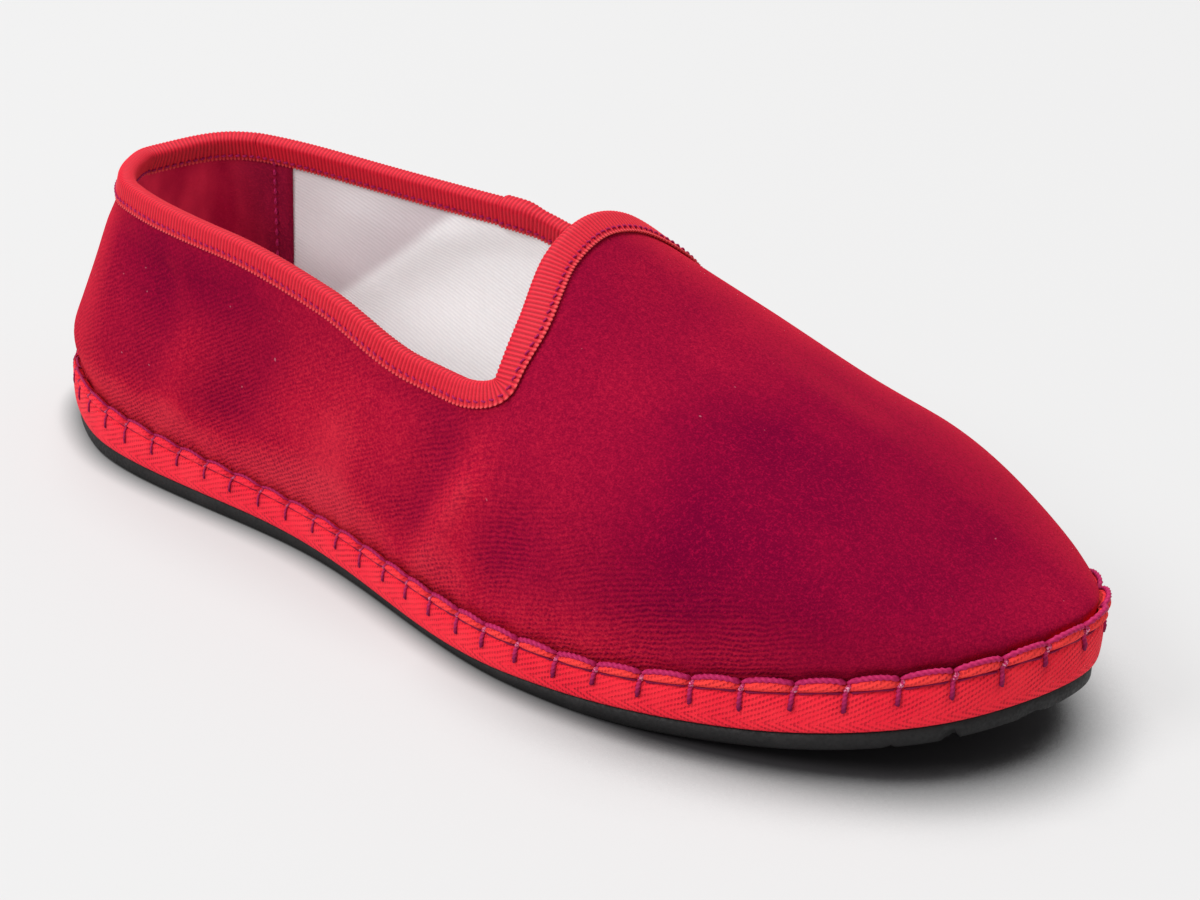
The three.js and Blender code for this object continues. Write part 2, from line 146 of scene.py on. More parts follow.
# Blanket stitch, mm, light at the heel and heavy at the toe
LEG_PITCHES = (7.9, 9.4)
LEG_PITCH_SPAN = (130.0, 190.0)
LEG_SHIFT = 3.0
LEG_JITTER = 0.35
HALF_SPAN = 4.2
HEAVY_SPAN = (90.0, 170.0)
TIP_SPAN = (205.0, 240.0)
LEG_ENDS = (0.36, 0.48)
LEG_END_TIP = 0.1
LEG_SLANTS = (-0.5, 0.3)
LEG_HOOKS = (1.5, 0.6)
LEG_HOOK_SPAN = (0.0, 0.35)
LEG_LIFT = 0.24
LEG_SINK = 0.8
LEG_SINK_SPAN = (0.92, 1.0)
LEG_DARK_SPAN = (0.45, 1.0)
PURL_INSET = 0.5
PURL_LIFT = 0.15
PURL_UP = 0.2
THIN_SHADE = 0.35
# Painted highlight on the knots at the heads of the legs: strength at the heel and the toe, where it starts
# and ends
KNOT_HIGHLIGHTS = (0.4, 0.9)
KNOT_START = (0.04, 0.1)
KNOT_END = (0.2, 0.34)

# Thin stitches in the groove, mm and shares of the gap between two legs
RUNNING_SPAN = (0.06, 0.94)
RUNNING_WOBBLE = 0.025
RUNNING_ARCH = 0.02
RUNNING_LIFTS = (0.06, 0.08)
RUNNING_DIVE = 0.3
RUNNING_DIVE_SHARE = 0.05
RUNNING_SINK = 0.2
RUNNING_HEAVY_SPAN = (60.0, 170.0)

# Lock stitches of the ribbon and of the heel lining, mm: each dives at its ends
RIBBON_STITCH_UP = 1.0
RIBBON_STITCH_PITCH = 1.75
RIBBON_STITCH_START = 0.3
RIBBON_STITCH_SHARE = 0.8
RIBBON_STITCH_SLANT = 0.18
RIBBON_STITCH_LIFTS = (-0.25, 0.12, 0.2, 0.2, 0.12, -0.25)
PATCH_STITCH_LIFTS = (-0.3, 0.12, 0.18, 0.18, 0.12, -0.3)

# Thread radii, mm, length of one turn of their two plies, depth between the plies and taper at the ends
LEG_THREADS = (0.28, 0.56)
LEG_TWIST = 1.7
PURL_THREADS = (0.34, 0.62)
PURL_TWIST = 2.2
RUNNING_THREADS = (0.2, 0.3)
RUNNING_TWIST = 1.4
RIBBON_THREADS = (0.27, 0.36)
PATCH_THREAD = 0.46
LOCK_TWIST = 1.5
PLY_DEPTH = 0.2
THREAD_END = 0.35

# Tread of the outsole, mm: chevrons that run out at the edge only under the toe
TREAD_PITCH = 9.0
TREAD_SWING = 14.0
TREAD_GROOVE = (0.36, 0.42)
TREAD_BACK = (12.0, 20.0)
TREAD_FRONT = (243.0, 247.0)
TREAD_MIDDLE = (0.4, 0.44)
TREAD_TOE = (226.0, 230.0)
TREAD_DEPTHS = (1.1, 1.8)

# Mesh steps
OUTLINE_SAMPLES = 1920
COLLAR_SAMPLES = 1500
COLLAR_COLUMNS = 130
FRONT_COLUMNS = 110
FIELD_ROWS = 60
CLIMB_SAMPLES = 501
STRIP_ROWS = 6
STEPS_PER_RIB = 4
FOLD_STEPS = 9
TAPE_STEP = 0.7
TAPE_FINE_STEP = 0.25
TAPE_ROWS_PER_KNOT = 3
EDGE_SPOTS = 90
FACE_PASSES = 3
SOLE_STATIONS = 460
OUTSOLE_ACROSS = 31
INSOLE_ACROSS = 15
PATCH_COLUMNS = 40
PATCH_ROWS = 36
BLANKET_STEPS = 17
RUNNING_STEPS = 14
LOCK_STEPS = 6
LOCK_PITCH_STEPS = 8
THICK_SIDES = 8
THIN_SIDES = 6

# How far toward the toe the upper's columns stand under the throat, and the shares of the length between
# which that grows and dies out
FOOT_STEP = 17.0
STEP_RISE = (0.3, 0.53)
STEP_FALL = (0.58, 0.72)

# Outline of the sole from above, as shares of the length and of the ball width, counter-clockwise
OUTLINE = [
    # along, across
    (0.0, 0.0),
    (0.1, -0.265),
    (0.376, -0.351),
    (0.62, -0.503),
    (0.836, -0.429),
    (0.953, -0.26),
    (1.0, 0.03),
    (0.956, 0.222),
    (0.838, 0.414),
    (0.668, 0.497),
    (0.364, 0.366),
    (0.064, 0.293),
]

# Heights of the outsole's underside and of the taped edge, mm
EDGE = [
    # along, underside, bottom of the tape, top of the tape
    (0.0, 0.7, 4.6, 14.8),
    (0.1, 0.0, 3.9, 14.1),
    (0.3, 0.0, 3.7, 11.7),
    (0.4, 0.0, 2.9, 11.1),
    (0.52, 0.0, 2.2, 11.3),
    (0.66, 0.0, 3.6, 11.9),
    (0.82, 3.6, 7.5, 17.8),
    (1.0, 12.9, 16.8, 28.3),
]

# Sections of the last
SECTIONS = [
    # along, crown as a share of the instep height, fullness, bulge half way up and roll over the tape in mm
    (0.0, 1.24, 1.87, -8.0, 2.0),
    (0.12, 1.21, 2.28, -3.4, 1.6),
    (0.36, 1.24, 2.9, 0.4, 0.8),
    (0.52, 1.035, 1.92, 0.7, 0.8),
    (0.66, 0.805, 2.25, 1.7, 0.8),
    (0.82, 0.628, 2.35, 3.4, 0.8),
    (1.0, 0.425, 2.3, 0.6, 0.0),
]

# Collar edge, back to peak
COLLAR = [
    # foot, along, height, how much higher the inner side is
    (0.0, 0.0, HEEL_HEIGHT, 0.0),
    (0.12, 0.12, 1.007 * HEEL_HEIGHT, 0.0),
    (0.248, 0.26, 1.005 * HEEL_HEIGHT, -1.0),
    (0.36, 0.38, 0.76 * INSTEP_HEIGHT, 1.6),
    (0.444, 0.48, 0.685 * INSTEP_HEIGHT, 2.6),
    (0.484, 0.524, 0.676 * INSTEP_HEIGHT, 2.4),
    (0.528, 0.56, 0.715 * INSTEP_HEIGHT, 1.2),
    (0.576, 0.557, 0.835 * INSTEP_HEIGHT, 0.0),
    (0.624, 0.546, 0.955 * INSTEP_HEIGHT, 0.0),
    (0.664, 0.544, INSTEP_HEIGHT, 0.0),
]

# Face of the tape, from the turned-under edge to the top of the lip
TAPE_FACE = [
    # inset in mm, rise as a share of the tape's height
    (TAPE_TURN_UNDER, 0.0),
    (0.9, 0.0),
    (0.35, 0.06),
    (0.1, 0.22),
    (0.0, 0.5),
    (0.1, 0.68),
    (0.6, GROOVE_RISE),
    (0.05, 0.84),
    (-0.3, 0.9),
    (-0.05, 0.955),
    (0.6, 0.995),
    (1.4, 0.97),
]

# Creases of the cloth: troughs have a negative height and ridges a positive one.
# Along each the velvet is painted lighter or darker by its tone: painted light and shade of the fold.
CREASES = [
    # side, from x, from z, to x, to z, half width, height, tone of painted light and shade
    ("outer", 139.5, 34, 128.5, 13, 2.4, 1.3, 0.28),
    ("outer", 151, 28, 148, 17, 5.0, -1.1, -0.18),
    ("outer", 141, 41, 140, 24, 4.2, 0.0, 0.34),
    ("outer", 132, 40, 123, 17, 3.6, -1.3, -0.24),
    ("outer", 169, 32, 172, 20, 6.0, 0.6, 0.1),
    ("outer", 190, 42, 185, 27, 13.0, -1.2, -0.14),
    ("outer", 112, 34, 92, 20, 12.0, 0.7, 0.16),
    ("outer", 110, 44, 117, 41, 4.0, 0.3, 0.14),
    ("outer", 104, 36, 101, 16, 5.0, -0.3, 0.14),
    ("outer", 81, 39, 70, 25, 5.0, -1.3, -0.26),
    ("outer", 58, 36, 53, 22, 4.0, 0.8, 0.32),
    ("outer", 36, 42, 47, 42, 6.0, -0.4, -0.18),
    ("outer", 38, 51, 74, 49, 4.5, -0.8, -0.22),
    ("outer", 50, 44, 60, 42, 6.0, -0.8, -0.1),
    ("outer", 52, 51, 54, 46, 2.0, 0.4, 0.16),
    ("outer", 24, 44, 30, 18, 8.0, 0.7, 0.12),
    ("outer", 1, 20, 14, 19, 3.4, 0.5, 0.1),
    ("inner", 1, 20, 14, 19, 3.4, 0.5, 0.1),
    ("outer", 147, 67, 143, 72, 4.0, -0.15, -0.12),
    ("inner", 138, 44, 129, 15, 3.6, 1.2, 0.4),
    ("inner", 152, 34, 147, 17, 5.5, -1.0, -0.2),
    ("inner", 126, 42, 119, 24, 5.0, -1.1, -0.2),
    ("inner", 84, 56, 56, 33, 4.5, -1.6, -0.2),
    ("inner", 96, 52, 70, 30, 7.0, 1.0, 0.15),
    ("inner", 54, 44, 44, 20, 6.0, -1.2, -0.25),
    ("inner", 186, 42, 182, 26, 12.0, -1.2, -0.14),
]

# Creases face one side, die out past their ends and over the tape
CREASE_FACING = (2.0, 14.0)
CREASE_END = 1.2
CREASE_FOOT = (-0.5, 6.0)

# Shaded fold of the lining on the inner side, mm: its ends, how sharp it is, and how far the shade spreads
LINING_FOLD = ((79.0, 53.0), (57.0, 34.0))
LINING_EDGE = (-1.2, 1.6)
LINING_SPREAD = (2.0, 16.0)
LINING_FADE = 0.5
LINING_FACING = (5.0, 15.0)

# Tone of the velvet along the shoe, dark to bright, with painted light: a painted highlight over the tape,
# painted shade on the vamp
TONES_AND_PAINTED_LIGHT = [
    # along, just over the tape, half way up, at the top
    (0.0, 1.0, 0.6, 0.55),
    (0.12, 1.1, 0.45, 0.4),
    (0.24, 1.15, 0.45, 0.4),
    (0.36, 1.2, 0.7, 0.5),
    (0.48, 1.05, 0.56, 0.34),
    (0.58, 0.9, 0.42, 0.36),
    (0.66, 0.9, 0.38, 0.38),
    (0.76, 0.62, 0.12, 0.15),
    (0.88, 0.28, 0.12, 0.12),
    (1.0, 0.34, 0.34, 0.34),
]
TONE_HEIGHTS = ((3.0, 14.0), (20.0, 42.0))

# How the velvet's ribs run, seen from the side
RIB_CLIMB = [
    # along, how steeply the ribs climb toward the toe, how far the dots along them lean
    (0.0, 0.62, -0.5),
    (0.3, 0.62, -0.5),
    (0.5, 0.57, -0.4),
    (0.68, 0.33, 0.4),
    (1.0, 0.2, 0.55),
]

# Depth of the ribbon, mm, by the place on the sole under it
RIBBON_DEPTHS = [
    # along, outer side, inner side
    (0.0, 4.2, 4.4),
    (0.16, 3.9, 4.4),
    (0.26, 3.5, 4.4),
    (0.4, 3.6, 4.4),
    (0.5, 3.9, 4.0),
    (0.54, 4.2, 4.3),
    (0.576, 5.2, 5.1),
    (0.664, 4.8, 4.8),
]

# Camera of the photograph, mm and pixels of its 1200 x 900 frame, the window of it that is shown, and the
# nearest distance seen, metres
CAMERA_PLACE = (412.23, -397.93, 259.2)
CAMERA_RIGHT = (0.83335, 0.54903, 0.06393)
CAMERA_UP = (-0.27552, 0.31234, 0.90914)
CAMERA_BACK = (0.47918, -0.77525, 0.41156)
CAMERA_FOCAL = 1855.6
CAMERA_MIDDLE = (600, 450)
WINDOW_MIDDLE = (522, 490)
WINDOW_WIDTH = 830
SENSOR = 36.0
NEAREST_SEEN = 0.01

# Floor, metres: the light that it adds to soft shadows, how far shade reaches, where the toe's shade begins
FLOOR_SIZE = 6.0
FLOOR_GLOW = 0.5
CONTACT_REACH = 0.007
TOE_SHADE_REACH = 0.045
TOE_SHADE_SPAN = (0.01, 0.06)

# Lights, metres and watts
SKY = (1.0, 0.99, 0.99, 1.0)
SKY_STRENGTH = 0.52
LIGHT_AIM = (0.0, 0.0, 0.03)
LIGHTS = [
    # name, place, size, power
    ("key", (-0.5, 0.6, 3.0), 1.6, 58.0),
    ("side", (-0.9, -2.3, 2.1), 1.4, 56.0),
]

QUARTER = math.pi / 2
SMALL_TURN = 1e-3


# The shoe's form

def smooth_table(keys, values):
    """Numbers between table rows, smooth and without overshoot."""
    keys = np.array(keys, float)
    values = np.array(values, float)
    widths = np.diff(keys)
    grades = np.diff(values) / widths
    before, after = grades[:-1], grades[1:]
    agree = before * after > 0
    inner = np.where(agree, 2 * before * after / np.where(agree, before + after, 1), 0)
    slopes = np.concatenate([grades[:1], inner, grades[-1:]])

    def at(key):
        place = np.clip(key, keys[0], keys[-1])
        i = np.clip(np.searchsorted(keys, place) - 1, 0, len(widths) - 1)
        t = (place - keys[i]) / widths[i]
        s = 1 - t
        ends = values[i] * s * s * (1 + 2 * t) + values[i + 1] * t * t * (1 + 2 * s)
        return ends + widths[i] * s * t * (slopes[i] * s - slopes[i + 1] * t)

    return at


def along_table(rows, column, unit=1.0):
    return smooth_table([row[0] * LENGTH for row in rows], [row[column] * unit for row in rows])


outsole_bottom = along_table(EDGE, 1)
tape_bottom = along_table(EDGE, 2)
tape_top = along_table(EDGE, 3)
crown = along_table(SECTIONS, 1, INSTEP_HEIGHT)
fullness = along_table(SECTIONS, 2)
bulge = along_table(SECTIONS, 3)
roll = along_table(SECTIONS, 4)


def smooth_step(value, low, high):
    t = np.clip((value - low) / (high - low), 0, 1)
    return t * t * (3 - 2 * t)


def lerp(a, b, share):
    return a + (b - a) * share


def unit(vectors):
    return vectors / np.maximum(np.linalg.norm(vectors, axis=-1, keepdims=True), 1e-12)


def closed_curve(points, count):
    """A closed centripetal Catmull-Rom curve through the points, with its tangents."""
    n = len(points)
    places = np.arange(count) / count * n
    i = places.astype(int)
    t = (places - i)[:, None]
    p0, p1, p2, p3 = (points[(i + k) % n] for k in (-1, 0, 1, 2))

    def gap(a, b):
        return np.linalg.norm(b - a, axis=1, keepdims=True) ** 0.5

    d0, d1, d2 = gap(p0, p1), gap(p1, p2), gap(p2, p3)
    m1 = ((p1 - p0) / d0 - (p2 - p0) / (d0 + d1) + (p2 - p1) / d1) * d1
    m2 = ((p2 - p1) / d1 - (p3 - p1) / (d1 + d2) + (p3 - p2) / d2) * d1
    c2 = -3 * p1 + 3 * p2 - 2 * m1 - m2
    c3 = 2 * p1 - 2 * p2 + m1 + m2
    return p1 + m1 * t + c2 * t**2 + c3 * t**3, m1 + 2 * c2 * t + 3 * c3 * t**2


def outline_sides():
    """Both sides of the outline from the rearmost point to the foremost one, with inward normals."""
    points, tangents = closed_curve(np.array(OUTLINE) * (LENGTH, BALL_WIDTH), OUTLINE_SAMPLES)
    tangents = unit(tangents)
    rows = np.column_stack([points, -tangents[:, 1], tangents[:, 0]])
    rows = np.roll(rows, -np.argmin(rows[:, 0]), axis=0)
    rows = np.vstack([rows, rows[:1]])
    tip = np.argmax(rows[:, 0])
    return {"outer": rows[: tip + 1], "inner": rows[tip:][::-1]}


SIDES = outline_sides()
HEEL_X = SIDES["outer"][0, 0]
TOE_X = SIDES["outer"][-1, 0]


def station_x(turn):
    return lerp(HEEL_X, TOE_X, (1 - np.cos(turn)) / 2)


def station_of(x):
    return np.arccos(1 - 2 * np.clip((x - HEEL_X) / (TOE_X - HEEL_X), 0, 1))


TURNS = {side: station_of(rows[:, 0]) for side, rows in SIDES.items()}


def outline_point(side, turn, inset):
    """Points of the outline, moved inward, as x and y."""
    y, nx, ny = (np.interp(turn, TURNS[side], SIDES[side][:, k]) for k in (1, 2, 3))
    normal = unit(np.stack([nx, ny], -1))
    return np.stack([station_x(turn), y], -1) + normal * np.asarray(inset)[..., None]


def rib_centre(x):
    at = np.clip(x, HEEL_FAN, TOE_FAN)
    turn = station_of(at)
    y = (outline_point("outer", turn, 0.0)[..., 1] + outline_point("inner", turn, 0.0)[..., 1]) / 2
    return np.stack([at, y], -1)


def upper_point(side, turn, rise):
    """The upper's outer face: ribs stand at the stations and rise from 0 at the sole to a quarter turn."""
    x = station_x(turn)
    foot = outline_point(side, turn, FEATHER)
    centre = rib_centre(x)
    reach = np.linalg.norm(foot - centre, axis=-1)
    power = 2 / fullness(x)
    lean = HEEL_LEAN * (1 - smooth_step(x, 0, HEEL_LEAN_END))
    across = np.cos(rise)
    inward = np.sign(across) * np.abs(across) ** power * reach
    low = rise / ROLL_RISE
    swell = bulge(x) * np.sin(2 * rise) + roll(x) * low * np.exp(1 - low) * across
    r = inward + swell - lean * np.sin(rise) ** 2
    flat = centre + (foot - centre) * (r / reach)[..., None]
    base = tape_top(x) + CLEARANCE
    z = base + (crown(flat[..., 0]) - base) * np.sin(rise) ** power
    return np.concatenate([flat, z[..., None]], -1)


def collar_tables():
    """Collar edge by its rib's station, mirrored past both ends. Its peak lies on the ridge."""
    foot, along, height, lift = np.array(COLLAR).T
    height[-1] = crown(along[-1] * LENGTH)
    foot = station_of(foot * LENGTH)
    turns = station_of(along * LENGTH)
    keys = [-foot[1], *foot, 2 * foot[-1] - foot[-2]]

    def mirrored(values, sign=1):
        return smooth_table(keys, [sign * values[1], *values, values[-2]])

    return foot[-1], mirrored(turns, -1), {"outer": mirrored(height), "inner": mirrored(height + lift)}


PEAK, edge_turn, EDGE_HEIGHT = collar_tables()


def collar_place(side, foot):
    turn = edge_turn(foot)
    x = station_x(turn)
    base = tape_top(x) + CLEARANCE
    share = np.clip((EDGE_HEIGHT[side](foot) - base) / (crown(x) - base), 0, 1)
    rise = np.arcsin(share ** (fullness(x) / 2))
    return turn, np.where(foot >= PEAK, QUARTER, rise)


def upper_slopes(side, turn, rise):
    low = np.minimum(rise, QUARTER - SMALL_TURN)
    middle = upper_point(side, turn, low)
    by_turn = (upper_point(side, turn + SMALL_TURN, low) - middle) / SMALL_TURN
    by_rise = (upper_point(side, turn, low + SMALL_TURN) - middle) / SMALL_TURN
    return by_turn, by_rise


def outward_normal(side, turn, rise):
    by_turn, by_rise = upper_slopes(side, turn, rise)
    sign = 1 if side == "outer" else -1
    return sign * unit(np.cross(by_turn, by_rise))


def below_edge(side, foot, distance):
    """Places on the face that lie a distance in from the collar edge, as turn, rise and the way in."""
    start_turn, start_rise = collar_place(side, foot)
    at_peak = foot >= PEAK
    start = upper_point(side, start_turn, start_rise)
    ahead = np.where(foot + SMALL_TURN > PEAK, -SMALL_TURN, SMALL_TURN)
    tangent = upper_point(side, *collar_place(side, foot + ahead)) - start
    tangent = tangent * np.sign(ahead)[:, None]
    by_turn, by_rise = upper_slopes(side, start_turn, start_rise)
    inward = np.cross(tangent, np.cross(by_turn, by_rise))
    inward = unit(np.where(at_peak[:, None], by_turn, inward))
    target = start + inward * np.asarray(distance)[..., None]
    turn, rise = start_turn, start_rise
    for _ in range(FACE_PASSES):
        by_turn, by_rise = upper_slopes(side, turn, rise)
        miss = target - upper_point(side, turn, rise)
        pairs = ((by_turn, by_turn), (by_turn, by_rise), (by_rise, by_rise), (miss, by_turn), (miss, by_rise))
        uu, uv, vv, mu, mv = (np.sum(a * b, -1) for a, b in pairs)
        size = uu * vv - uv * uv
        turn = turn + (mu * vv - mv * uv) / size
        rise = np.where(at_peak, rise, rise + (mv * uu - mu * uv) / size)
    return turn, rise, inward


def lengths_along(points, axis):
    """Length from the first point of each path to every point of it."""
    steps = np.diff(points, axis=axis, prepend=np.take(points, [0], axis))
    return np.cumsum(np.linalg.norm(steps, axis=-1), axis=axis)


def even_columns(paths, keys, step, start=0.0):
    """Even columns round both sides: how far along, on which side, the key there, and the full length."""
    lengths = {side: lengths_along(path, 0) for side, path in paths.items()}
    outer, inner = lengths["outer"][-1], lengths["inner"][-1]
    total = outer + inner
    count = round(total / step)
    runs = (np.arange(count) + start) * total / count
    on_outer = runs <= outer
    there = np.interp(runs, lengths["outer"], keys["outer"])
    back = np.interp(total - runs, lengths["inner"], keys["inner"])
    return runs, on_outer, np.where(on_outer, there, back), total


# Meshes

def grid_faces(rows, columns, loop_rows=False, loop_columns=False):
    """Quads of a grid of points that is stored row by row."""
    r = np.arange(rows if loop_rows else rows - 1)
    c = np.arange(columns if loop_columns else columns - 1)
    r, c = (a.ravel() for a in np.meshgrid(r, c, indexing="ij"))
    r2, c2 = (r + 1) % rows, (c + 1) % columns
    return np.stack([r * columns + c, r * columns + c2, r2 * columns + c2, r2 * columns + c], -1)


def weld(points, faces):
    """Joins points that meet, and returns the points, the faces, and one old number for each new point."""
    _, first, place = np.unique(np.round(points, 3), axis=0, return_index=True, return_inverse=True)
    return points[first], place.ravel()[faces], first


def clean_face(face):
    kept = [v for k, v in enumerate(face) if v != face[k - 1]]
    return kept if len(set(kept)) == len(kept) > 2 else None


def point_normals(points, faces):
    a, b, c, d = (points[faces[:, k]] for k in range(4))
    normals = np.cross(c - a, d - b)
    sums = np.zeros_like(points)
    for k in range(4):
        np.add.at(sums, faces[:, k], normals)
    return unit(sums)


def shell(points, faces, top, bottom):
    """A closed sheet between two offsets from a face, with its rims closed."""
    normals = point_normals(points, faces)
    count = len(points)
    starts = faces.ravel()
    ends = np.roll(faces, -1, axis=1).ravel()
    real = starts != ends
    starts, ends = starts[real], ends[real]
    open_edge = ~np.isin(starts * count + ends, ends * count + starts)
    a, b = starts[open_edge], ends[open_edge]
    rims = np.stack([b, a, a + count, b + count], -1)
    both = np.vstack([points + normals * top, points + normals * bottom])
    return both, np.vstack([faces, faces[:, ::-1] + count, rims])


def make_piece(name, points, faces, material, replaced=(), spots=None, marks=None):
    """A Blender object from points in mm. spots are the cloth's own coordinates, marks a number per point."""
    mesh = bpy.data.meshes.new(name)
    kept = [(face, row) for face, row in ((clean_face(f), f) for f in faces.tolist()) if face]
    placed = (points + (-LENGTH / 2, SIDE_OFFSET, 0)) / 1000
    mesh.from_pydata(placed.tolist(), [], [face for face, _ in kept])
    if spots is not None:
        layer = mesh.uv_layers.new(name="cloth")
        corners = np.array([v for face, _ in kept for v in face])
        layer.data.foreach_set("uv", spots[corners].astype(np.float32).ravel())
    for mark, values in (marks or {}).items():
        mesh.attributes.new(mark, "FLOAT", "POINT").data.foreach_set("value", values.astype(np.float32))
    mesh.shade_smooth()
    mesh.materials.append(material)
    piece = bpy.data.objects.new(name, mesh)
    bpy.context.scene.collection.objects.link(piece)
    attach(piece, "root")
    if replaced:
        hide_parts(*replaced)
    return piece


def tube_mesh(paths, normals, radius, sides, twist):
    """Two-ply threads along paths, as one joined mesh. paths and normals are threads x steps x 3."""
    threads, steps, _ = paths.shape
    tangents = unit(np.gradient(paths, axis=1))
    across = unit(np.cross(tangents, normals))
    out = np.cross(across, tangents)
    lengths = lengths_along(paths, 1)
    angles = np.linspace(0, 2 * math.pi, sides, endpoint=False)
    lobes = 1 - PLY_DEPTH + PLY_DEPTH * np.cos(2 * (angles - 2 * math.pi * lengths[..., None] / twist))
    ends = np.ones(steps)
    ends[[0, -1]] = THREAD_END
    size = np.reshape(radius, (-1, 1, 1)) * lobes * ends[:, None]
    ring = out[:, :, None] * np.cos(angles)[:, None] + across[:, :, None] * np.sin(angles)[:, None]
    points = (paths[:, :, None] + ring * size[..., None]).reshape(-1, 3)
    one = grid_faces(steps, sides, loop_columns=True)
    faces = (one[None] + (np.arange(threads) * steps * sides)[:, None, None]).reshape(-1, 4)
    ply = np.broadcast_to(lobes, (threads, steps, sides)).ravel()
    return points, faces, ply


def make_threads(name, paths, normals, radius, twist, material):
    """Thin threads as one piece."""
    points, faces, ply = tube_mesh(paths, normals, radius, THIN_SIDES, twist)
    make_piece(name, points, faces, material, marks={"ply": ply, "tip": 0 * ply})


# Materials

class Shader:
    """A material with a Principled shader, and short calls that add nodes to it."""

    def __init__(self, name, **sockets):
        self.material = bpy.data.materials.new(name)
        self.material.use_nodes = True
        self.tree = self.material.node_tree
        self.surface = self.tree.nodes["Principled BSDF"]
        for socket, value in sockets.items():
            self.put(self.surface, socket.replace("_", " "), value)

    def put(self, node, socket, value):
        found = node.inputs[socket] if isinstance(socket, int) else self.named(node, socket)
        if isinstance(value, bpy.types.NodeSocket):
            self.tree.links.new(value, found)
        else:
            found.default_value = value

    @staticmethod
    def named(node, name):
        return next(s for s in node.inputs if s.name.lower() == name.lower() and s.enabled)

    def add(self, kind, **sockets):
        node = self.tree.nodes.new(kind)
        for socket, value in sockets.items():
            self.put(node, socket.replace("_", " "), value)
        return node

    def place(self):
        return self.add("ShaderNodeTexCoord").outputs["Object"]

    def cloth(self):
        """The two coordinates of the cloth, mm along and mm up."""
        split = self.add("ShaderNodeSeparateXYZ", Vector=self.add("ShaderNodeTexCoord").outputs["UV"])
        return split.outputs[0], split.outputs[1]

    def mark(self, name):
        node = self.add("ShaderNodeAttribute")
        node.attribute_name = name
        return node.outputs["Fac"]

    def noise(self, size, detail=2.0, stretch=(1, 1, 1)):
        """Noise from 0 to 1 with patches of a size in mm."""
        mapping = self.add("ShaderNodeMapping", Vector=self.place(), Scale=stretch)
        node = self.add("ShaderNodeTexNoise", Vector=mapping.outputs[0], Scale=1000 / size, Detail=detail)
        return node.outputs[0]

    def sum(self, operation, first, second=0.0, third=0.0):
        node = self.tree.nodes.new("ShaderNodeMath")
        node.operation = operation
        for socket, value in enumerate((first, second, third)):
            self.put(node, socket, value)
        return node.outputs[0]

    def times(self, first, second):
        return self.sum("MULTIPLY", first, second)

    def plus(self, first, second):
        return self.sum("ADD", first, second)

    def wave(self, first, pitch):
        """A sine from 0 to 1 along a coordinate in mm."""
        turned = self.sum("SINE", self.times(first, 2 * math.pi / pitch))
        return self.sum("MULTIPLY_ADD", turned, 0.5, 0.5)

    def span(self, value, low, high, to_low=0.0, to_high=1.0):
        node = self.add("ShaderNodeMapRange")
        for socket, number in enumerate((value, low, high, to_low, to_high)):
            self.put(node, socket, number)
        return node.outputs[0]

    def mix(self, share, first, second, blend="MIX"):
        node = self.tree.nodes.new("ShaderNodeMix")
        node.data_type = "RGBA"
        node.blend_type = blend
        for socket, value in (("Factor", share), ("A", first), ("B", second)):
            self.put(node, socket, value)
        return next(o for o in node.outputs if o.enabled)

    def relief(self, height, depth):
        """Bump whose full height is a depth in mm."""
        node = self.add("ShaderNodeBump", Height=height, Distance=depth / 1000)
        if self.surface.inputs["Normal"].is_linked:
            self.put(node, "Normal", self.surface.inputs["Normal"].links[0].from_socket)
        self.put(self.surface, "Normal", node.outputs[0])

    def tint_sheen(self, value):
        self.put(self.surface, "Sheen Tint", value)

    def colour(self, value):
        self.put(self.surface, "Base Color", value)
        return self.material


def srgb(red, green, blue):
    """A colour given as 0 to 255 on screen, in the renderer's own numbers."""
    share = np.array([red, green, blue]) / 255
    linear = np.where(share <= 0.04045, share / 12.92, ((share + 0.055) / 1.055) ** 2.4)
    return (*linear.tolist(), 1.0)


def velvet_material():
    look = Shader("velvet", Roughness=0.95, Specular_IOR_Level=0.02, Sheen_Weight=0.35, Sheen_Roughness=0.35)
    look.tint_sheen(srgb(238, 44, 68))
    # The velvet's tone with random clouds, and painted light and shade from the tone table and the creases
    tone_and_painted_light = look.plus(look.mark("tone_and_painted_light"), look.span(look.noise(20, 3), 0.3, 0.7, -0.09, 0.09))
    pile = look.sum("MULTIPLY_ADD", look.noise(0.36, 2), 0.6, look.times(look.noise(0.8, 2), 0.4))
    furrows, rib_crest_highlights = velvet_ribs(look)
    plain = look.mix(look.span(tone_and_painted_light, 0, 1), srgb(112, 3, 44), srgb(186, 22, 52))
    # Painted highlight: the brightest tone, on the band just over the tape, turns lighter red
    lit = look.mix(look.span(tone_and_painted_light, 0.85, 1.35, 0, 0.85), plain, srgb(216, 56, 72))
    # Painted sheen: lighter red where the surface turns edge-on to view
    edge = look.add("ShaderNodeLayerWeight", Blend=0.5).outputs["Facing"]
    painted_rim = look.mix(look.span(edge, 0.48, 0.92, 0, 0.6), lit, srgb(212, 42, 58))
    # Painted highlight on the crests of the ribs
    crest_highlighted = look.mix(look.times(rib_crest_highlights, 0.3), painted_rim, srgb(206, 34, 54))
    # Darker furrows: the ground cloth's own dark and painted shade in them
    ribbed = look.mix(look.times(furrows, 0.72), crest_highlighted, srgb(88, 0, 40))
    shaded = look.mix(look.span(pile, 0.36, 0.5, 0.4, 0), ribbed, srgb(92, 2, 38))
    tips = look.mix(look.span(tone_and_painted_light, 0.2, 1), srgb(176, 12, 58), srgb(222, 54, 66))
    bright = look.mix(look.span(pile, 0.5, 0.66, 0, 0.5), shaded, tips)
    lint = look.span(look.noise(1.1, 0), 0.89, 0.92, 0, 0.3)
    look.relief(pile, 0.2)
    look.relief(furrows, 0.14)
    return look.colour(look.mix(lint, bright, srgb(226, 150, 165)))


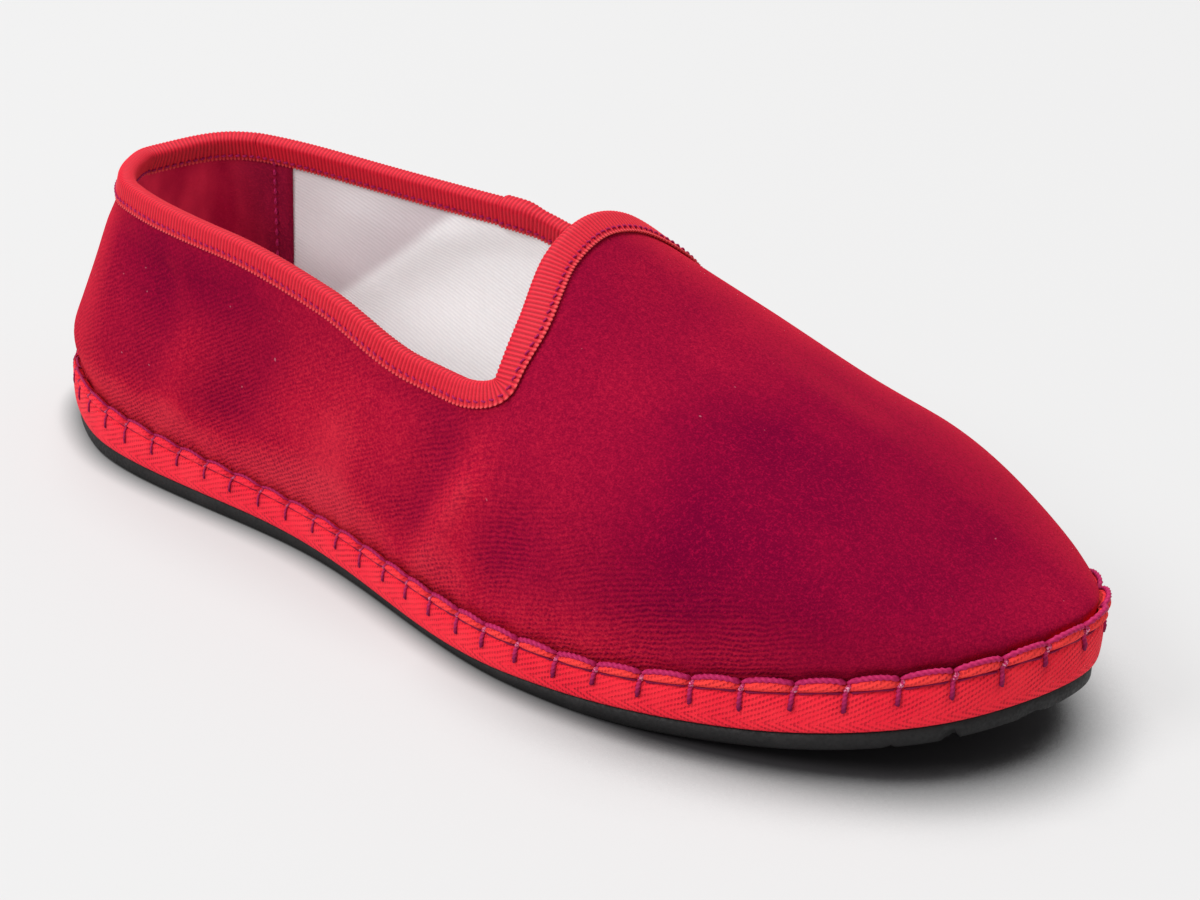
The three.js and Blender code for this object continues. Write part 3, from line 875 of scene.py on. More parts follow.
def velvet_ribs(look):
    """Dotted furrows of the ground cloth, where the nap lets them show, and the crests between them that get
    a painted highlight.
    """
    bent = look.span(look.noise(11, 2), 0, 1, -1.1, 1.1)
    wander = look.plus(bent, look.span(look.noise(1.6, 1), 0, 1, -0.42, 0.42))
    lines = look.wave(look.plus(look.mark("across_ribs"), wander), VELVET_RIB_PITCH)
    dotted = look.wave(look.plus(look.mark("along_ribs"), wander), VELVET_DOT_PITCH)
    dots = look.span(dotted, 0, 1, 0.3, 1)
    patches = look.span(look.noise(13, 2), 0.3, 0.55, 0.25, 1)
    shown = look.times(patches, look.mark("weave"))
    furrows = look.times(look.times(lines, dots), shown)
    return furrows, look.times(look.sum("SUBTRACT", 1.0, lines), shown)


def heel_velvet_material():
    look = Shader("heel velvet", Roughness=0.9, Specular_IOR_Level=0.1, Sheen_Weight=0.2, Sheen_Roughness=0.4)
    look.tint_sheen(srgb(245, 80, 110))
    pile = look.noise(0.55, 3)
    streak = look.span(look.noise(9, 2, (1, 1, 0.15)), 0.4, 0.65)
    # Back and front colours of one velvet: the darker front is painted shade deep in the shoe
    back = look.mix(streak, srgb(186, 16, 62), srgb(234, 46, 82))
    front = look.mix(streak, srgb(116, 6, 44), srgb(150, 14, 54))
    base = look.mix(look.mark("front"), back, front)
    look.relief(pile, 0.2)
    return look.colour(look.mix(look.span(pile, 0.45, 0.75, 0, 0.35), base, srgb(212, 36, 70)))


def ribbon_material():
    look = Shader("ribbon", Roughness=0.55, Specular_IOR_Level=0.25, Sheen_Weight=0.12, Sheen_Roughness=0.4)
    look.tint_sheen(srgb(255, 150, 140))
    crest = look.mark("painted_rib_light")
    threads = look.noise(0.3, 2)
    # Painted shade in the valleys between the ribs, brighter toward the crests
    base = look.mix(look.span(crest, 0.1, 0.75), srgb(168, 2, 32), srgb(214, 10, 44))
    # Painted highlight on the tops of the crests
    lit = look.mix(look.span(crest, 0.75, 1.0, 0, 0.3), base, srgb(248, 66, 76))
    worn = look.mix(look.span(threads, 0.45, 0.75, 0, 0.15), lit, srgb(246, 64, 70))
    look.relief(threads, 0.06)
    edge = look.times(look.mark("picot"), look.span(crest, 0.2, 0.9))
    return look.colour(look.mix(edge, worn, srgb(244, 92, 92)))


def tape_material():
    look = Shader("tape", Roughness=0.8, Specular_IOR_Level=0.15, Sheen_Weight=0.12, Sheen_Roughness=0.5)
    look.tint_sheen(srgb(255, 120, 130))
    along, up = look.cloth()
    bend = look.sum("ABSOLUTE", look.sum("SUBTRACT", up, 4.6))
    slant = look.sum("MULTIPLY_ADD", along, -0.42, look.times(bend, 0.9))
    rows = look.wave(look.plus(slant, look.span(look.noise(3), 0, 1, -0.25, 0.25)), 1.05)
    dots = look.wave(along, 0.66)
    cells = look.span(look.times(rows, look.span(dots, 0, 1, 0.45, 1)), 0.35, 0.8)
    fuzz = look.noise(0.5, 3)
    patches = look.span(look.noise(9, 3), 0.35, 0.7)
    heel = look.mix(patches, srgb(244, 36, 60), srgb(253, 50, 68))
    toe = look.mix(patches, srgb(244, 34, 57), srgb(254, 46, 63))
    face = look.mix(look.mark("toe"), heel, toe)
    # Painted highlight on the pillows toward the toe
    base = look.mix(look.times(look.mark("pillow_highlight"), 0.7), face, srgb(252, 72, 62))
    worn = look.span(look.noise(5, 2), 0.35, 0.65, 0.2, 0.75)
    woven = look.mix(look.times(cells, worn), base, srgb(162, 6, 38))
    look.relief(look.sum("SUBTRACT", 1.0, cells), 0.12)
    look.relief(fuzz, 0.16)
    fuzzed = look.mix(look.span(fuzz, 0.5, 0.8, 0, 0.35), woven, srgb(246, 66, 72))
    # Painted shade in the groove and beside the legs
    return look.colour(look.mix(look.times(look.mark("groove"), 0.7), fuzzed, srgb(140, 4, 40)))


def thread_material(name, dark, light, tip):
    """Two-ply thread that darkens toward its marked tips, with painted shade between its plies."""
    look = Shader(name, Roughness=0.6, Specular_IOR_Level=0.15)
    fibre = look.noise(0.35, 2)
    look.relief(fibre, 0.05)
    # Painted shade in the grooves between the plies, lighter on the plies
    ply = look.span(look.mark("ply"), 0.6, 1.0)
    lit = look.mix(look.times(ply, look.span(fibre, 0.2, 0.8, 0.5, 1)), dark, light)
    dark_end = look.mix(look.mark("tip"), lit, tip)
    # Painted highlight on the knots at the heads of the legs
    knot_highlight = look.times(look.mark("knot_highlight"), look.span(fibre, 0.5, 0.62))
    return look.colour(look.mix(knot_highlight, dark_end, srgb(240, 168, 190)))


def twill_material(name, light, dark, pitch, depth):
    look = Shader(name, Roughness=0.9, Specular_IOR_Level=0.1, Sheen_Weight=0.05, Sheen_Roughness=0.5)
    along, up = look.cloth()
    lines = look.wave(look.sum("MULTIPLY_ADD", along, -TWILL_SLANT, up), pitch)
    threads = look.noise(0.45, 2)
    cells = look.times(lines, look.span(threads, 0.2, 0.7, 0.4, 1))
    base = look.mix(look.span(cells, 0.0, 0.8), dark, light)
    look.relief(cells, depth)
    clouded = look.mix(look.span(look.noise(22, 3), 0.45, 0.8, 0, 0.2), base, dark)
    return look.colour(look.mix(look.times(look.mark("shade"), 0.75), clouded, srgb(196, 182, 187)))


def rubber_material():
    look = Shader("rubber", Roughness=0.6, Specular_IOR_Level=0.35)
    grain = look.noise(0.7, 3)
    dust = look.span(look.noise(6, 4), 0.5, 0.75, 0, 0.45)
    look.relief(grain, 0.1)
    look.put(look.surface, "Roughness", look.span(grain, 0.3, 0.7, 0.5, 0.75))
    return look.colour(look.mix(dust, srgb(18, 17, 18), srgb(46, 44, 45)))


def floor_material():
    look = Shader("floor", Roughness=0.7, Specular_IOR_Level=0.2)
    # Painted shadow: colour and glow darken with occlusion next to the shoe, and more under the toe
    near = look.add("ShaderNodeAmbientOcclusion", Distance=CONTACT_REACH)
    over = look.add("ShaderNodeAmbientOcclusion", Distance=TOE_SHADE_REACH)
    contact = look.span(near.outputs["AO"], 0.15, 0.9)
    toe = look.span(look.add("ShaderNodeSeparateXYZ", Vector=look.place()).outputs[0], *TOE_SHADE_SPAN)
    covered = look.times(look.span(over.outputs["AO"], 0.8, 0.42), toe)
    bare = look.times(contact, look.sum("SUBTRACT", 1.0, covered))
    plain = look.mix(look.noise(300, 2), srgb(139, 139, 139), srgb(141, 141, 141))
    look.put(look.surface, "Emission Color", look.mix(bare, srgb(0, 0, 0), srgb(255, 255, 255)))
    look.put(look.surface, "Emission Strength", FLOOR_GLOW)
    return look.colour(look.mix(bare, srgb(62, 60, 62), plain))


# Upper

def column_foot(feet):
    """Stations that the columns stand on: under the throat they step toward the toe, so that none cross."""
    x = station_x(feet)
    stepped = smooth_step(x / LENGTH, *STEP_RISE) * (1 - smooth_step(x / LENGTH, *STEP_FALL))
    return station_of(x + FOOT_STEP * stepped)


def side_columns(side, feet):
    """Turn and rise of one side's columns, rows first, from the sole to the collar edge or the ridge."""
    in_collar = feet <= PEAK
    collar_feet = np.minimum(feet, PEAK)
    depths = np.linspace(RIBBON_DEPTH, 0, STRIP_ROWS + 1)
    strip = [below_edge(side, collar_feet, depth)[:2] for depth in depths]
    front = below_edge("outer", np.array([PEAK]), RIBBON_DEPTH)[0][0]
    share = (station_x(feet) - station_x(PEAK)) / (TOE_FAN - station_x(PEAK))
    ridge = np.where(share >= 1, feet, station_of(lerp(station_x(front), TOE_FAN, np.minimum(share, 1))))
    strip_turns = [np.where(in_collar, turn, ridge) for turn, _ in strip]
    strip_rises = [np.where(in_collar, rise, QUARTER) for _, rise in strip]
    base = column_foot(feet)
    shares = np.arange(FIELD_ROWS) / FIELD_ROWS
    turns = [lerp(base, strip_turns[0], s) for s in shares] + strip_turns
    rises = [strip_rises[0] * s for s in shares] + strip_rises
    return np.array(turns), np.array(rises)


def upper_face():
    """The upper's outer face as a welded grid, with its cloth coordinates."""
    collar_feet = np.linspace(0, PEAK, COLLAR_COLUMNS + 1)
    front_feet = np.linspace(PEAK, math.pi, FRONT_COLUMNS + 1)[1:]
    feet = np.concatenate([collar_feet, front_feet])
    blocks = []
    for side, order in (("outer", feet), ("inner", feet[::-1][1:-1])):
        turns, rises = side_columns(side, order)
        points = upper_point(side, turns, rises)
        base = column_foot(order)
        back = heel_back(station_x(base))
        tucked = outline_point(side, base, FEATHER - HEEL_TUCK_OUT * back)
        low = np.column_stack([tucked, tape_top(station_x(base)) - TUCK - LIP_DROP * back])
        blocks.append(np.concatenate([low[None], points]))
    grid = np.concatenate(blocks, axis=1)
    rows, columns, _ = grid.shape
    along = np.broadcast_to(lengths_along(grid[1], 0), (rows, columns))
    spots = np.stack([along, lengths_along(grid, 0)], -1).reshape(-1, 2)
    points, faces, first = weld(grid.reshape(-1, 3), grid_faces(rows, columns, loop_columns=True))
    return points, faces, spots[first]


def collar_gap(points):
    """Distance to the collar edge, mm."""
    nearest = np.full(len(points), np.inf)
    for side in SIDES:
        for spot in upper_point(side, *collar_place(side, np.linspace(0, PEAK, EDGE_SPOTS))):
            nearest = np.minimum(nearest, np.linalg.norm(points - spot, axis=1))
    return nearest


def crease_field(points):
    """Height of the creases in mm and the painted light and shade they add to the velvet's tone."""
    height = np.zeros(len(points))
    tone_and_painted_light = np.zeros(len(points))
    x, y, z = points.T
    for side, x0, z0, x1, z1, width, size, shade in CREASES:
        way = np.array([x1 - x0, z1 - z0], float)
        long = np.hypot(*way)
        way /= long
        run = (x - x0) * way[0] + (z - z0) * way[1]
        off = (x - x0) * way[1] - (z - z0) * way[0]
        past = np.maximum(np.maximum(-run, run - long), 0)
        middle = rib_centre(x)[:, 1]
        facing = smooth_step((middle - y) if side == "outer" else (y - middle), *CREASE_FACING)
        weight = np.exp(-((off / width) ** 2) / 2 - (past / (CREASE_END * width)) ** 2 / 2) * facing
        height += size * weight
        tone_and_painted_light += shade * weight
    base = tape_top(x) + CLEARANCE
    clear_of_collar = smooth_step(collar_gap(points), RIBBON_DEPTH, 3 * RIBBON_DEPTH)
    return height * (smooth_step(z - base, *CREASE_FOOT) * clear_of_collar), tone_and_painted_light


def velvet_tone_and_painted_light(points):
    # Painted highlight in the band just over the tape and painted shade over the vamp, on the velvet's own
    # tone
    x = points[:, 0]
    up = points[:, 2] - tape_top(x)
    low, middle, top = (along_table(TONES_AND_PAINTED_LIGHT, k)(x) for k in (1, 2, 3))
    (a, b), (c, d) = TONE_HEIGHTS
    return lerp(lerp(low, middle, smooth_step(up, a, b)), top, smooth_step(up, c, d))


def weave_shown(x, up):
    """How much of the ground cloth's ribs shows: most near the tape, less higher up and toward the toe."""
    reach = lerp(*WEAVE_REACH, smooth_step(x, *WEAVE_REACH_SPAN))
    near = 1 - smooth_step(up, *WEAVE_HIGH_SPAN)
    low = lerp(WEAVE_HIGH, 1, near) * (1 - smooth_step(up, reach / 3, reach))
    return low * lerp(1, WEAVE_TOE, smooth_step(x, *WEAVE_TOE_SPAN))


def rib_places(x, up):
    """Coordinates across and along the velvet's ribs, mm, from the place along the shoe and up the cloth."""
    stations = np.linspace(0, LENGTH, CLIMB_SAMPLES)
    slopes = along_table(RIB_CLIMB, 1)(stations)
    climb = np.cumsum(slopes) * stations[1] - tape_top(stations)
    return up - np.interp(x, stations, climb), x - along_table(RIB_CLIMB, 2)(x) * up


def lining_shade(points):
    """Shade behind the fold on the inner side."""
    (x0, z0), (x1, z1) = LINING_FOLD
    way = unit(np.array([x1 - x0, z1 - z0]))
    off = (points[:, 0] - x0) * way[1] - (points[:, 2] - z0) * way[0]
    inner = smooth_step(points[:, 1] - rib_centre(points[:, 0])[:, 1], *LINING_FACING)
    fade = lerp(1, LINING_FADE, smooth_step(off, *LINING_SPREAD))
    return smooth_step(off, *LINING_EDGE) * fade * inner


def velvet_and_lining(velvet, twill):
    points, faces, spots = upper_face()
    normals = point_normals(points, faces)
    height, painted_crease_light = crease_field(points)
    creased = points + normals * height[:, None]
    x, up = points[:, 0], spots[:, 1]
    across_ribs, along_ribs = rib_places(x, up)
    velvet_marks = {
        "tone_and_painted_light": np.tile(velvet_tone_and_painted_light(points) + painted_crease_light, 2),
        "weave": np.tile(weave_shown(x, up), 2),
        "across_ribs": np.tile(across_ribs, 2),
        "along_ribs": np.tile(along_ribs, 2),
    }
    lining_marks = {"shade": np.tile(lining_shade(points), 2)}
    lining_top = -VELVET_THICK - LINING_GAP
    sheets = (
        ("upper_velvet", velvet, "velvet", 0.0, -VELVET_THICK, ("upper",), velvet_marks),
        ("upper_lining", twill, "cotton", lining_top, lining_top - LINING_THICK, (), lining_marks),
    )
    for name, material, slot, top, bottom, replaced, marks in sheets:
        sheet, sheet_faces = shell(creased, faces, top, bottom)
        make_piece(name, sheet, sheet_faces, material, replaced, np.tile(spots, (2, 1)), marks)


# Collar ribbon

def collar_loop(step, start=0.0):
    """Even columns round the collar: how far along, on which side, at which foot."""
    feet = np.linspace(0, PEAK, COLLAR_SAMPLES)
    paths = {side: upper_point(side, *below_edge(side, feet, RIBBON_DEPTH / 2)[:2]) for side in SIDES}
    return even_columns(paths, dict.fromkeys(SIDES, feet), step, start)[:3]


def collar_skin(on_outer, foot, depth):
    """Points, outward normals and the way in, a depth below the collar edge."""
    points = np.zeros((len(foot), 3))
    normals = np.zeros_like(points)
    inward = np.zeros_like(points)
    for side, chosen in (("outer", on_outer), ("inner", ~on_outer)):
        some = depth if np.ndim(depth) == 0 else depth[chosen]
        turn, rise, way = below_edge(side, foot[chosen], some)
        points[chosen] = upper_point(side, turn, rise)
        normals[chosen] = outward_normal(side, turn, rise)
        inward[chosen] = way
    return points, normals, inward


def lap_rise(on_outer, foot):
    """Extra thickness where the ribbon's two ends lap on the inner side."""
    x = station_x(edge_turn(foot))
    bare_end = smooth_step(x, LAP_PLACE - LAP_EDGE, LAP_PLACE)
    lost_end = 1 - smooth_step(x, LAP_PLACE + LAP_LENGTH, LAP_PLACE + 2 * LAP_LENGTH)
    return np.where(on_outer, 0, bare_end * lost_end)


def ribbon_depth(on_outer, foot):
    x = station_x(foot)
    return np.where(on_outer, along_table(RIBBON_DEPTHS, 1)(x), along_table(RIBBON_DEPTHS, 2)(x))


def ribbon_offset(share):
    """How far the ribbon's skin stands off the cloth: full at the fold, pressed flat at the stitches."""
    pressed = math.exp(-(((1 - share) / RIBBON_PRESS_SHARE - 1) ** 2))
    return lerp(*RIBBON_STAND, share) - RIBBON_PRESS * pressed


def ribbon_columns():
    runs, on_outer, foot = collar_loop(RIB_PITCH / STEPS_PER_RIB)
    count = len(runs) // STEPS_PER_RIB * STEPS_PER_RIB
    runs, on_outer, foot = collar_loop((runs[1] - runs[0]) * len(runs) / count)
    crest = np.abs(np.sin(math.pi * np.arange(len(runs)) / STEPS_PER_RIB)) ** RIB_ROUND
    return runs, on_outer, foot, crest


def ribbon_leaf(sign, columns, shares):
    """Rows of one leaf of the ribbon, with how much of its scalloped edge each row is."""
    on_outer, foot, edge_depth, thick = columns
    rows, picot = [], []
    for share in shares:
        points, normals, _ = collar_skin(on_outer, foot, edge_depth * share)
        off = ribbon_offset(share) + thick
        stand = off if sign > 0 else -WALL - off
        rows.append(points + normals * stand[:, None])
        picot.append(max(0.0, (share - PICOT_SHARE) / (1 - PICOT_SHARE)))
    return rows, picot


def ribbon_fold(columns):
    """Rows over the fold, from the outer leaf to the inner one."""
    on_outer, foot, _, thick = columns
    points, normals, inward = collar_skin(on_outer, foot, 0.0)
    middle = points - normals * WALL / 2
    rows = []
    for angle in np.linspace(0, math.pi, FOLD_STEPS)[1:-1]:
        wide = WALL / 2 + ribbon_offset(0) + thick
        high = RIBBON_FOLD + thick
        spread = np.sign(math.cos(angle)) * abs(math.cos(angle)) ** RIBBON_FOLD_POWER * wide
        lift = abs(math.sin(angle)) ** RIBBON_FOLD_POWER * high
        rows.append(middle + normals * spread[:, None] - inward * lift[:, None])
    return rows


def ribbon_back(columns, full_depth):
    """Rows of the ribbon's back, which faces the cloth."""
    on_outer, foot, _, _ = columns
    rows = []
    inside = -WALL - RIBBON_BACK
    for share, stand in ((1.0, inside), (0.0, inside), (0.0, RIBBON_BACK), (1.0, RIBBON_BACK)):
        points, normals, inward = collar_skin(on_outer, foot, share * full_depth)
        lifted = inward * (RIBBON_BACK_LIFT if share == 0 else 0.0)
        rows.append(points + normals * stand - lifted)
    return rows


def collar_ribbon(material):
    _, on_outer, foot, crest = ribbon_columns()
    full_depth = ribbon_depth(on_outer, foot)
    edge_depth = full_depth + SCALLOP[0] + SCALLOP[1] * crest
    columns = (on_outer, foot, edge_depth, RIB_RELIEF * crest + LAP_THICK * lap_rise(on_outer, foot))
    outer_rows, outer_picot = ribbon_leaf(1, columns, RIBBON_LEAF)
    fold = ribbon_fold(columns)
    inner_rows, inner_picot = ribbon_leaf(-1, columns, RIBBON_LEAF[::-1])
    back = ribbon_back(columns, full_depth)
    grid = np.array(outer_rows + fold + inner_rows + back)
    picot = outer_picot + [0.0] * len(fold) + inner_picot + [0.0] * len(back)
    # The crest of each rib, marked for the ribbon's painted shade and highlight
    marks = {"painted_rib_light": np.tile(crest, len(grid)), "picot": np.repeat(picot, len(foot))}
    faces = grid_faces(len(grid), len(foot), loop_rows=True, loop_columns=True)
    points = grid.reshape(-1, 3)
    make_piece("collar_ribbon", points, faces, material, ("collar_binding",), marks=marks)


def ribbon_stitches(material):
    """Lock stitches along both leaves of the ribbon."""
    runs, on_outer, foot = collar_loop(RIBBON_STITCH_PITCH / LOCK_PITCH_STEPS, RIBBON_STITCH_START)
    count = len(runs) // LOCK_PITCH_STEPS
    used = [k * LOCK_PITCH_STEPS + step for k in range(count) for step in range(LOCK_STEPS)]
    on_outer, foot = on_outer[used], foot[used]
    slant = np.tile(np.linspace(-RIBBON_STITCH_SLANT, RIBBON_STITCH_SLANT, LOCK_STEPS), count)
    depth = ribbon_depth(on_outer, foot) - RIBBON_STITCH_UP + slant
    points, normals, _ = collar_skin(on_outer, foot, depth)
    base = ribbon_offset(RIBBON_STITCH_SHARE) + RIBBON_STITCH_SHARE * RIB_RELIEF
    off = base + np.tile(RIBBON_STITCH_LIFTS, count) + LAP_THICK * lap_rise(on_outer, foot)
    paths, ups = [], []
    for sign in (1, -1):
        stand = off if sign > 0 else -WALL - off
        paths.append((points + normals * stand[:, None]).reshape(count, LOCK_STEPS, 3))
        ups.append((normals * sign).reshape(count, LOCK_STEPS, 3))
    radius = np.repeat(RIBBON_THREADS, count)
    make_threads("ribbon_stitches", np.vstack(paths), np.vstack(ups), radius, LOCK_TWIST, material)


# Edge tape and its stitches

def sole_loop(step):
    """Even columns round the sole: how far along, on which side, at which turn, and the full length."""
    return even_columns({side: rows[:, :2] for side, rows in SIDES.items()}, TURNS, step)


def leg_runs():
    """Where the blanket stitch's legs stand, as lengths round the sole."""
    runs, _, turn, total = sole_loop(TAPE_STEP)
    pitch = lerp(*LEG_PITCHES, smooth_step(station_x(turn), *LEG_PITCH_SPAN))
    counted = np.cumsum(np.gradient(runs) / pitch)
    count = round(counted[-1])
    even = np.interp(np.arange(count) + 0.5, counted * count / counted[-1], runs)
    return even + LEG_SHIFT + rng.uniform(-LEG_JITTER, LEG_JITTER, count), total


LEGS, SOLE_ROUND = leg_runs()


def nearest_leg(runs):
    """Signed distance along the sole to the nearest leg."""
    gaps = (runs[:, None] - LEGS[None] + SOLE_ROUND / 2) % SOLE_ROUND - SOLE_ROUND / 2
    return gaps[np.arange(len(runs)), np.abs(gaps).argmin(1)]


def heel_back(x):
    """1 at the back of the heel, where the lip leans in and lies lower."""
    return 1 - smooth_step(x, *LIP_LEAN_SPAN)


def sole_edge(runs):
    """Points of the sole's outline at lengths round it, and the way in."""
    loop_runs, on_outer, turn, total = sole_loop(TAPE_FINE_STEP)
    k = np.searchsorted(loop_runs, runs % total, side="right") - 1
    after = (k + 1) % len(loop_runs)
    share = (runs % total - loop_runs[k]) / (total / len(loop_runs))
    flat = []
    for inset in (0.0, 1.0):
        outer, inner = (outline_point(side, turn, inset) for side in SIDES)
        both = np.where(on_outer[:, None], outer, inner)
        flat.append(lerp(both[k], both[after], share[:, None]))
    return flat[0], unit(flat[1] - flat[0])


def tape_point(runs, inset, rise, lift=0.0):
    """Points on the tape's face, pinched at each leg and puffed between them, with outward normals."""
    edge, way_in = sole_edge(runs)
    gap = np.abs(nearest_leg(runs))
    pinch = np.exp(-((gap / PINCH_WIDTH) ** 2))
    dip = (1 - np.minimum(gap / HALF_SPAN, 1)) ** 2
    lip = smooth_step(rise, GROOVE_RISE, LIP_RISE)
    x = edge[:, 0]
    back = heel_back(x)
    puff = lerp(*PUFFS, smooth_step(x, *HEAVY_SPAN))
    pressed = PINCH_IN * pinch + (DIP_IN + puff) * dip - puff + LIP_LEAN * back
    inward = inset + lip * pressed + PINCH_FACE * pinch * smooth_step(rise, *PINCH_FACE_RISE)
    xy = edge + way_in * (inward - lift)[:, None]
    sunk = PINCH_DROP * pinch + DIP_DROP * dip - LIP_CROWN + LIP_DROP * back
    z = lerp(tape_bottom(x), tape_top(x), rise) - smooth_step(rise, *LIP_TOP) * sunk
    return np.column_stack([xy, z]), np.column_stack([-way_in, np.zeros(len(runs))])


def tape_inset(rise):
    """Inset of the tape's face at a rise, above the turned-under part."""
    inset, height = np.array(TAPE_FACE[1:-1]).T
    return np.interp(rise, height, inset)


def tape_shades(rises, x, leg_gaps):
    """Where the tape's face gets a painted highlight on the pillow, painted shade in the groove and beside
    the legs, or the deeper red of the toe, rows first.
    """
    toe = np.tile(smooth_step(x, *HEAVY_SPAN), (len(rises), 1))
    pillow_highlight = smooth_step(rises, *PILLOW_RISE) * (1 - smooth_step(rises, *PILLOW_END))
    groove = np.exp(-(((rises - GROOVE_RISE) / GROOVE_WIDTH) ** 2))
    beside_legs = np.exp(-((leg_gaps / LEG_SHADE_WIDTH) ** 2))
    painted_leg_shade = LEG_SHADE * smooth_step(rises, *LEG_SHADE_RISE)[:, None] * beside_legs
    dark = np.maximum(groove[:, None] * lerp(*GROOVE_SHADES, toe), painted_leg_shade)
    return {"toe": toe, "pillow_highlight": pillow_highlight[:, None] * toe, "groove": dark}


def edge_tape(material):
    runs = sole_loop(TAPE_STEP)[0]
    knots = np.arange(len(TAPE_FACE))
    fine = np.linspace(0, len(knots) - 1, TAPE_ROWS_PER_KNOT * (len(knots) - 1) + 1)
    insets, rises = (smooth_table(knots, column)(fine) for column in np.array(TAPE_FACE).T)
    rows = [tape_point(runs, inset, rise)[0] for inset, rise in zip(insets, rises)]
    up_length = lengths_along(np.array(rows), 0)
    shades = tape_shades(rises, rows[0][:, 0], nearest_leg(runs))
    for inset in (TAPE_THICK, TAPE_TURN_UNDER):
        low, _ = tape_point(runs, inset, 0.0)
        rows.append(low + (0, 0, TAPE_THICK - TAPE_BACK_GAP))
        up_length = np.vstack([up_length, up_length[-1:] + TAPE_BACK_RUN])
    grid = np.array(rows)
    spots = np.stack([np.broadcast_to(runs, grid.shape[:2]), up_length], -1).reshape(-1, 2)
    faces = grid_faces(len(rows), len(runs), loop_rows=True, loop_columns=True)
    marks = {name: np.vstack([shade, 0 * shade[:2]]).ravel() for name, shade in shades.items()}
    points = grid.reshape(-1, 3)
    make_piece("edge_tape_herringbone", points, faces, material, ("edge_tape",), spots, marks)


def between_legs():
    """Where the legs stand, in order, and the gap from each to the next."""
    order = np.sort(LEGS % SOLE_ROUND)
    return order, np.diff(np.append(order, order[0] + SOLE_ROUND))


def leg_paths(order, heavy, at_tip):
    """Legs over the lip, hooked at the purl and sunk into the tape at their ends."""
    legs, steps = len(order), BLANKET_STEPS
    share = np.tile(np.linspace(0, 1, steps), legs)
    end = np.repeat(rng.uniform(*LEG_ENDS, legs) + LEG_END_TIP * at_tip, steps)
    slant = np.repeat(rng.uniform(*LEG_SLANTS, legs), steps)
    rise = lerp(1.0, end, share)
    hook = np.repeat(lerp(*LEG_HOOKS, heavy), steps) * (1 - smooth_step(share, *LEG_HOOK_SPAN))
    lift = LEG_LIFT - LEG_SINK * smooth_step(share, *LEG_SINK_SPAN)
    points, normals = tape_point(np.repeat(order, steps) + hook + slant * share, tape_inset(rise), rise, lift)
    return points.reshape(legs, steps, 3), normals.reshape(legs, steps, 3)


def thread_shades(heavy):
    """Dark ends and painted highlights on the knots of the legs, and the darker thread of the thin stitches,
    point by point.
    """
    steps = BLANKET_STEPS
    share = np.tile(np.linspace(0, 1, steps), len(heavy))
    thin = np.repeat(THIN_SHADE * (1 - heavy), steps)
    tips = [np.maximum(smooth_step(share, *LEG_DARK_SPAN), thin), thin]
    head = smooth_step(share, *KNOT_START) * (1 - smooth_step(share, *KNOT_END))
    knots = [head * np.repeat(lerp(*KNOT_HIGHLIGHTS, heavy), steps), 0 * thin]
    shades = {"tip": tips, "knot_highlight": knots}
    return {mark: np.repeat(np.concatenate(values), THICK_SIDES) for mark, values in shades.items()}


def blanket_stitches(material):
    """Legs over the lip and the purl that joins their heads, both heavier toward the toe."""
    order, gaps = between_legs()
    shape = (len(order), BLANKET_STEPS, 3)
    base = (order[:, None] + gaps[:, None] * np.linspace(0, 1, BLANKET_STEPS)).ravel()
    points, normals = tape_point(base, PURL_INSET, 1.0, PURL_LIFT)
    points[:, 2] += PURL_UP
    purl_paths = points.reshape(shape)
    heads = purl_paths[:, 0, 0]
    heavy = smooth_step(heads, *HEAVY_SPAN)
    legs = leg_paths(order, heavy, smooth_step(heads, *TIP_SPAN))
    leg_mesh = tube_mesh(*legs, lerp(*LEG_THREADS, heavy), THICK_SIDES, LEG_TWIST)
    purl_radius = lerp(*PURL_THREADS, heavy)
    purl_mesh = tube_mesh(purl_paths, normals.reshape(shape), purl_radius, THICK_SIDES, PURL_TWIST)
    points = np.vstack([leg_mesh[0], purl_mesh[0]])
    faces = np.vstack([leg_mesh[1], purl_mesh[1] + len(leg_mesh[0])])
    marks = {"ply": np.concatenate([leg_mesh[2], purl_mesh[2]]), **thread_shades(heavy)}
    make_piece("blanket_stitches", points, faces, material, marks=marks)


def running_stitches(material):
    """A line of thin stitches in the groove under the lip."""
    order, gaps = between_legs()
    count = len(order)
    shape = (count, RUNNING_STEPS, 3)
    t = np.linspace(0, 1, RUNNING_STEPS)
    base = (order[:, None] + gaps[:, None] * lerp(*RUNNING_SPAN, t)).ravel()
    wobble = np.repeat(rng.uniform(-RUNNING_WOBBLE, RUNNING_WOBBLE, count), RUNNING_STEPS)
    rise = GROOVE_RISE + wobble * np.tile(t, count) + np.tile(RUNNING_ARCH * np.sin(math.pi * t), count)
    over = RUNNING_LIFTS[0] + RUNNING_LIFTS[1] * np.sin(3 * math.pi * t)
    at_end = np.minimum(t, 1 - t) < RUNNING_DIVE_SHARE
    lift = np.tile(np.where(at_end, -RUNNING_DIVE, over), count)
    points, _ = tape_point(base, tape_inset(rise), rise, lift)
    heavy = smooth_step(points[:, 0], *RUNNING_HEAVY_SPAN)
    points, normals = tape_point(base, tape_inset(rise), rise, lift - RUNNING_SINK * (1 - heavy))
    radius = lerp(*RUNNING_THREADS, heavy.reshape(shape[:2])[:, 0])
    paths, ups = points.reshape(shape), normals.reshape(shape)
    make_threads("running_stitches", paths, ups, radius, RUNNING_TWIST, material)


# Soles

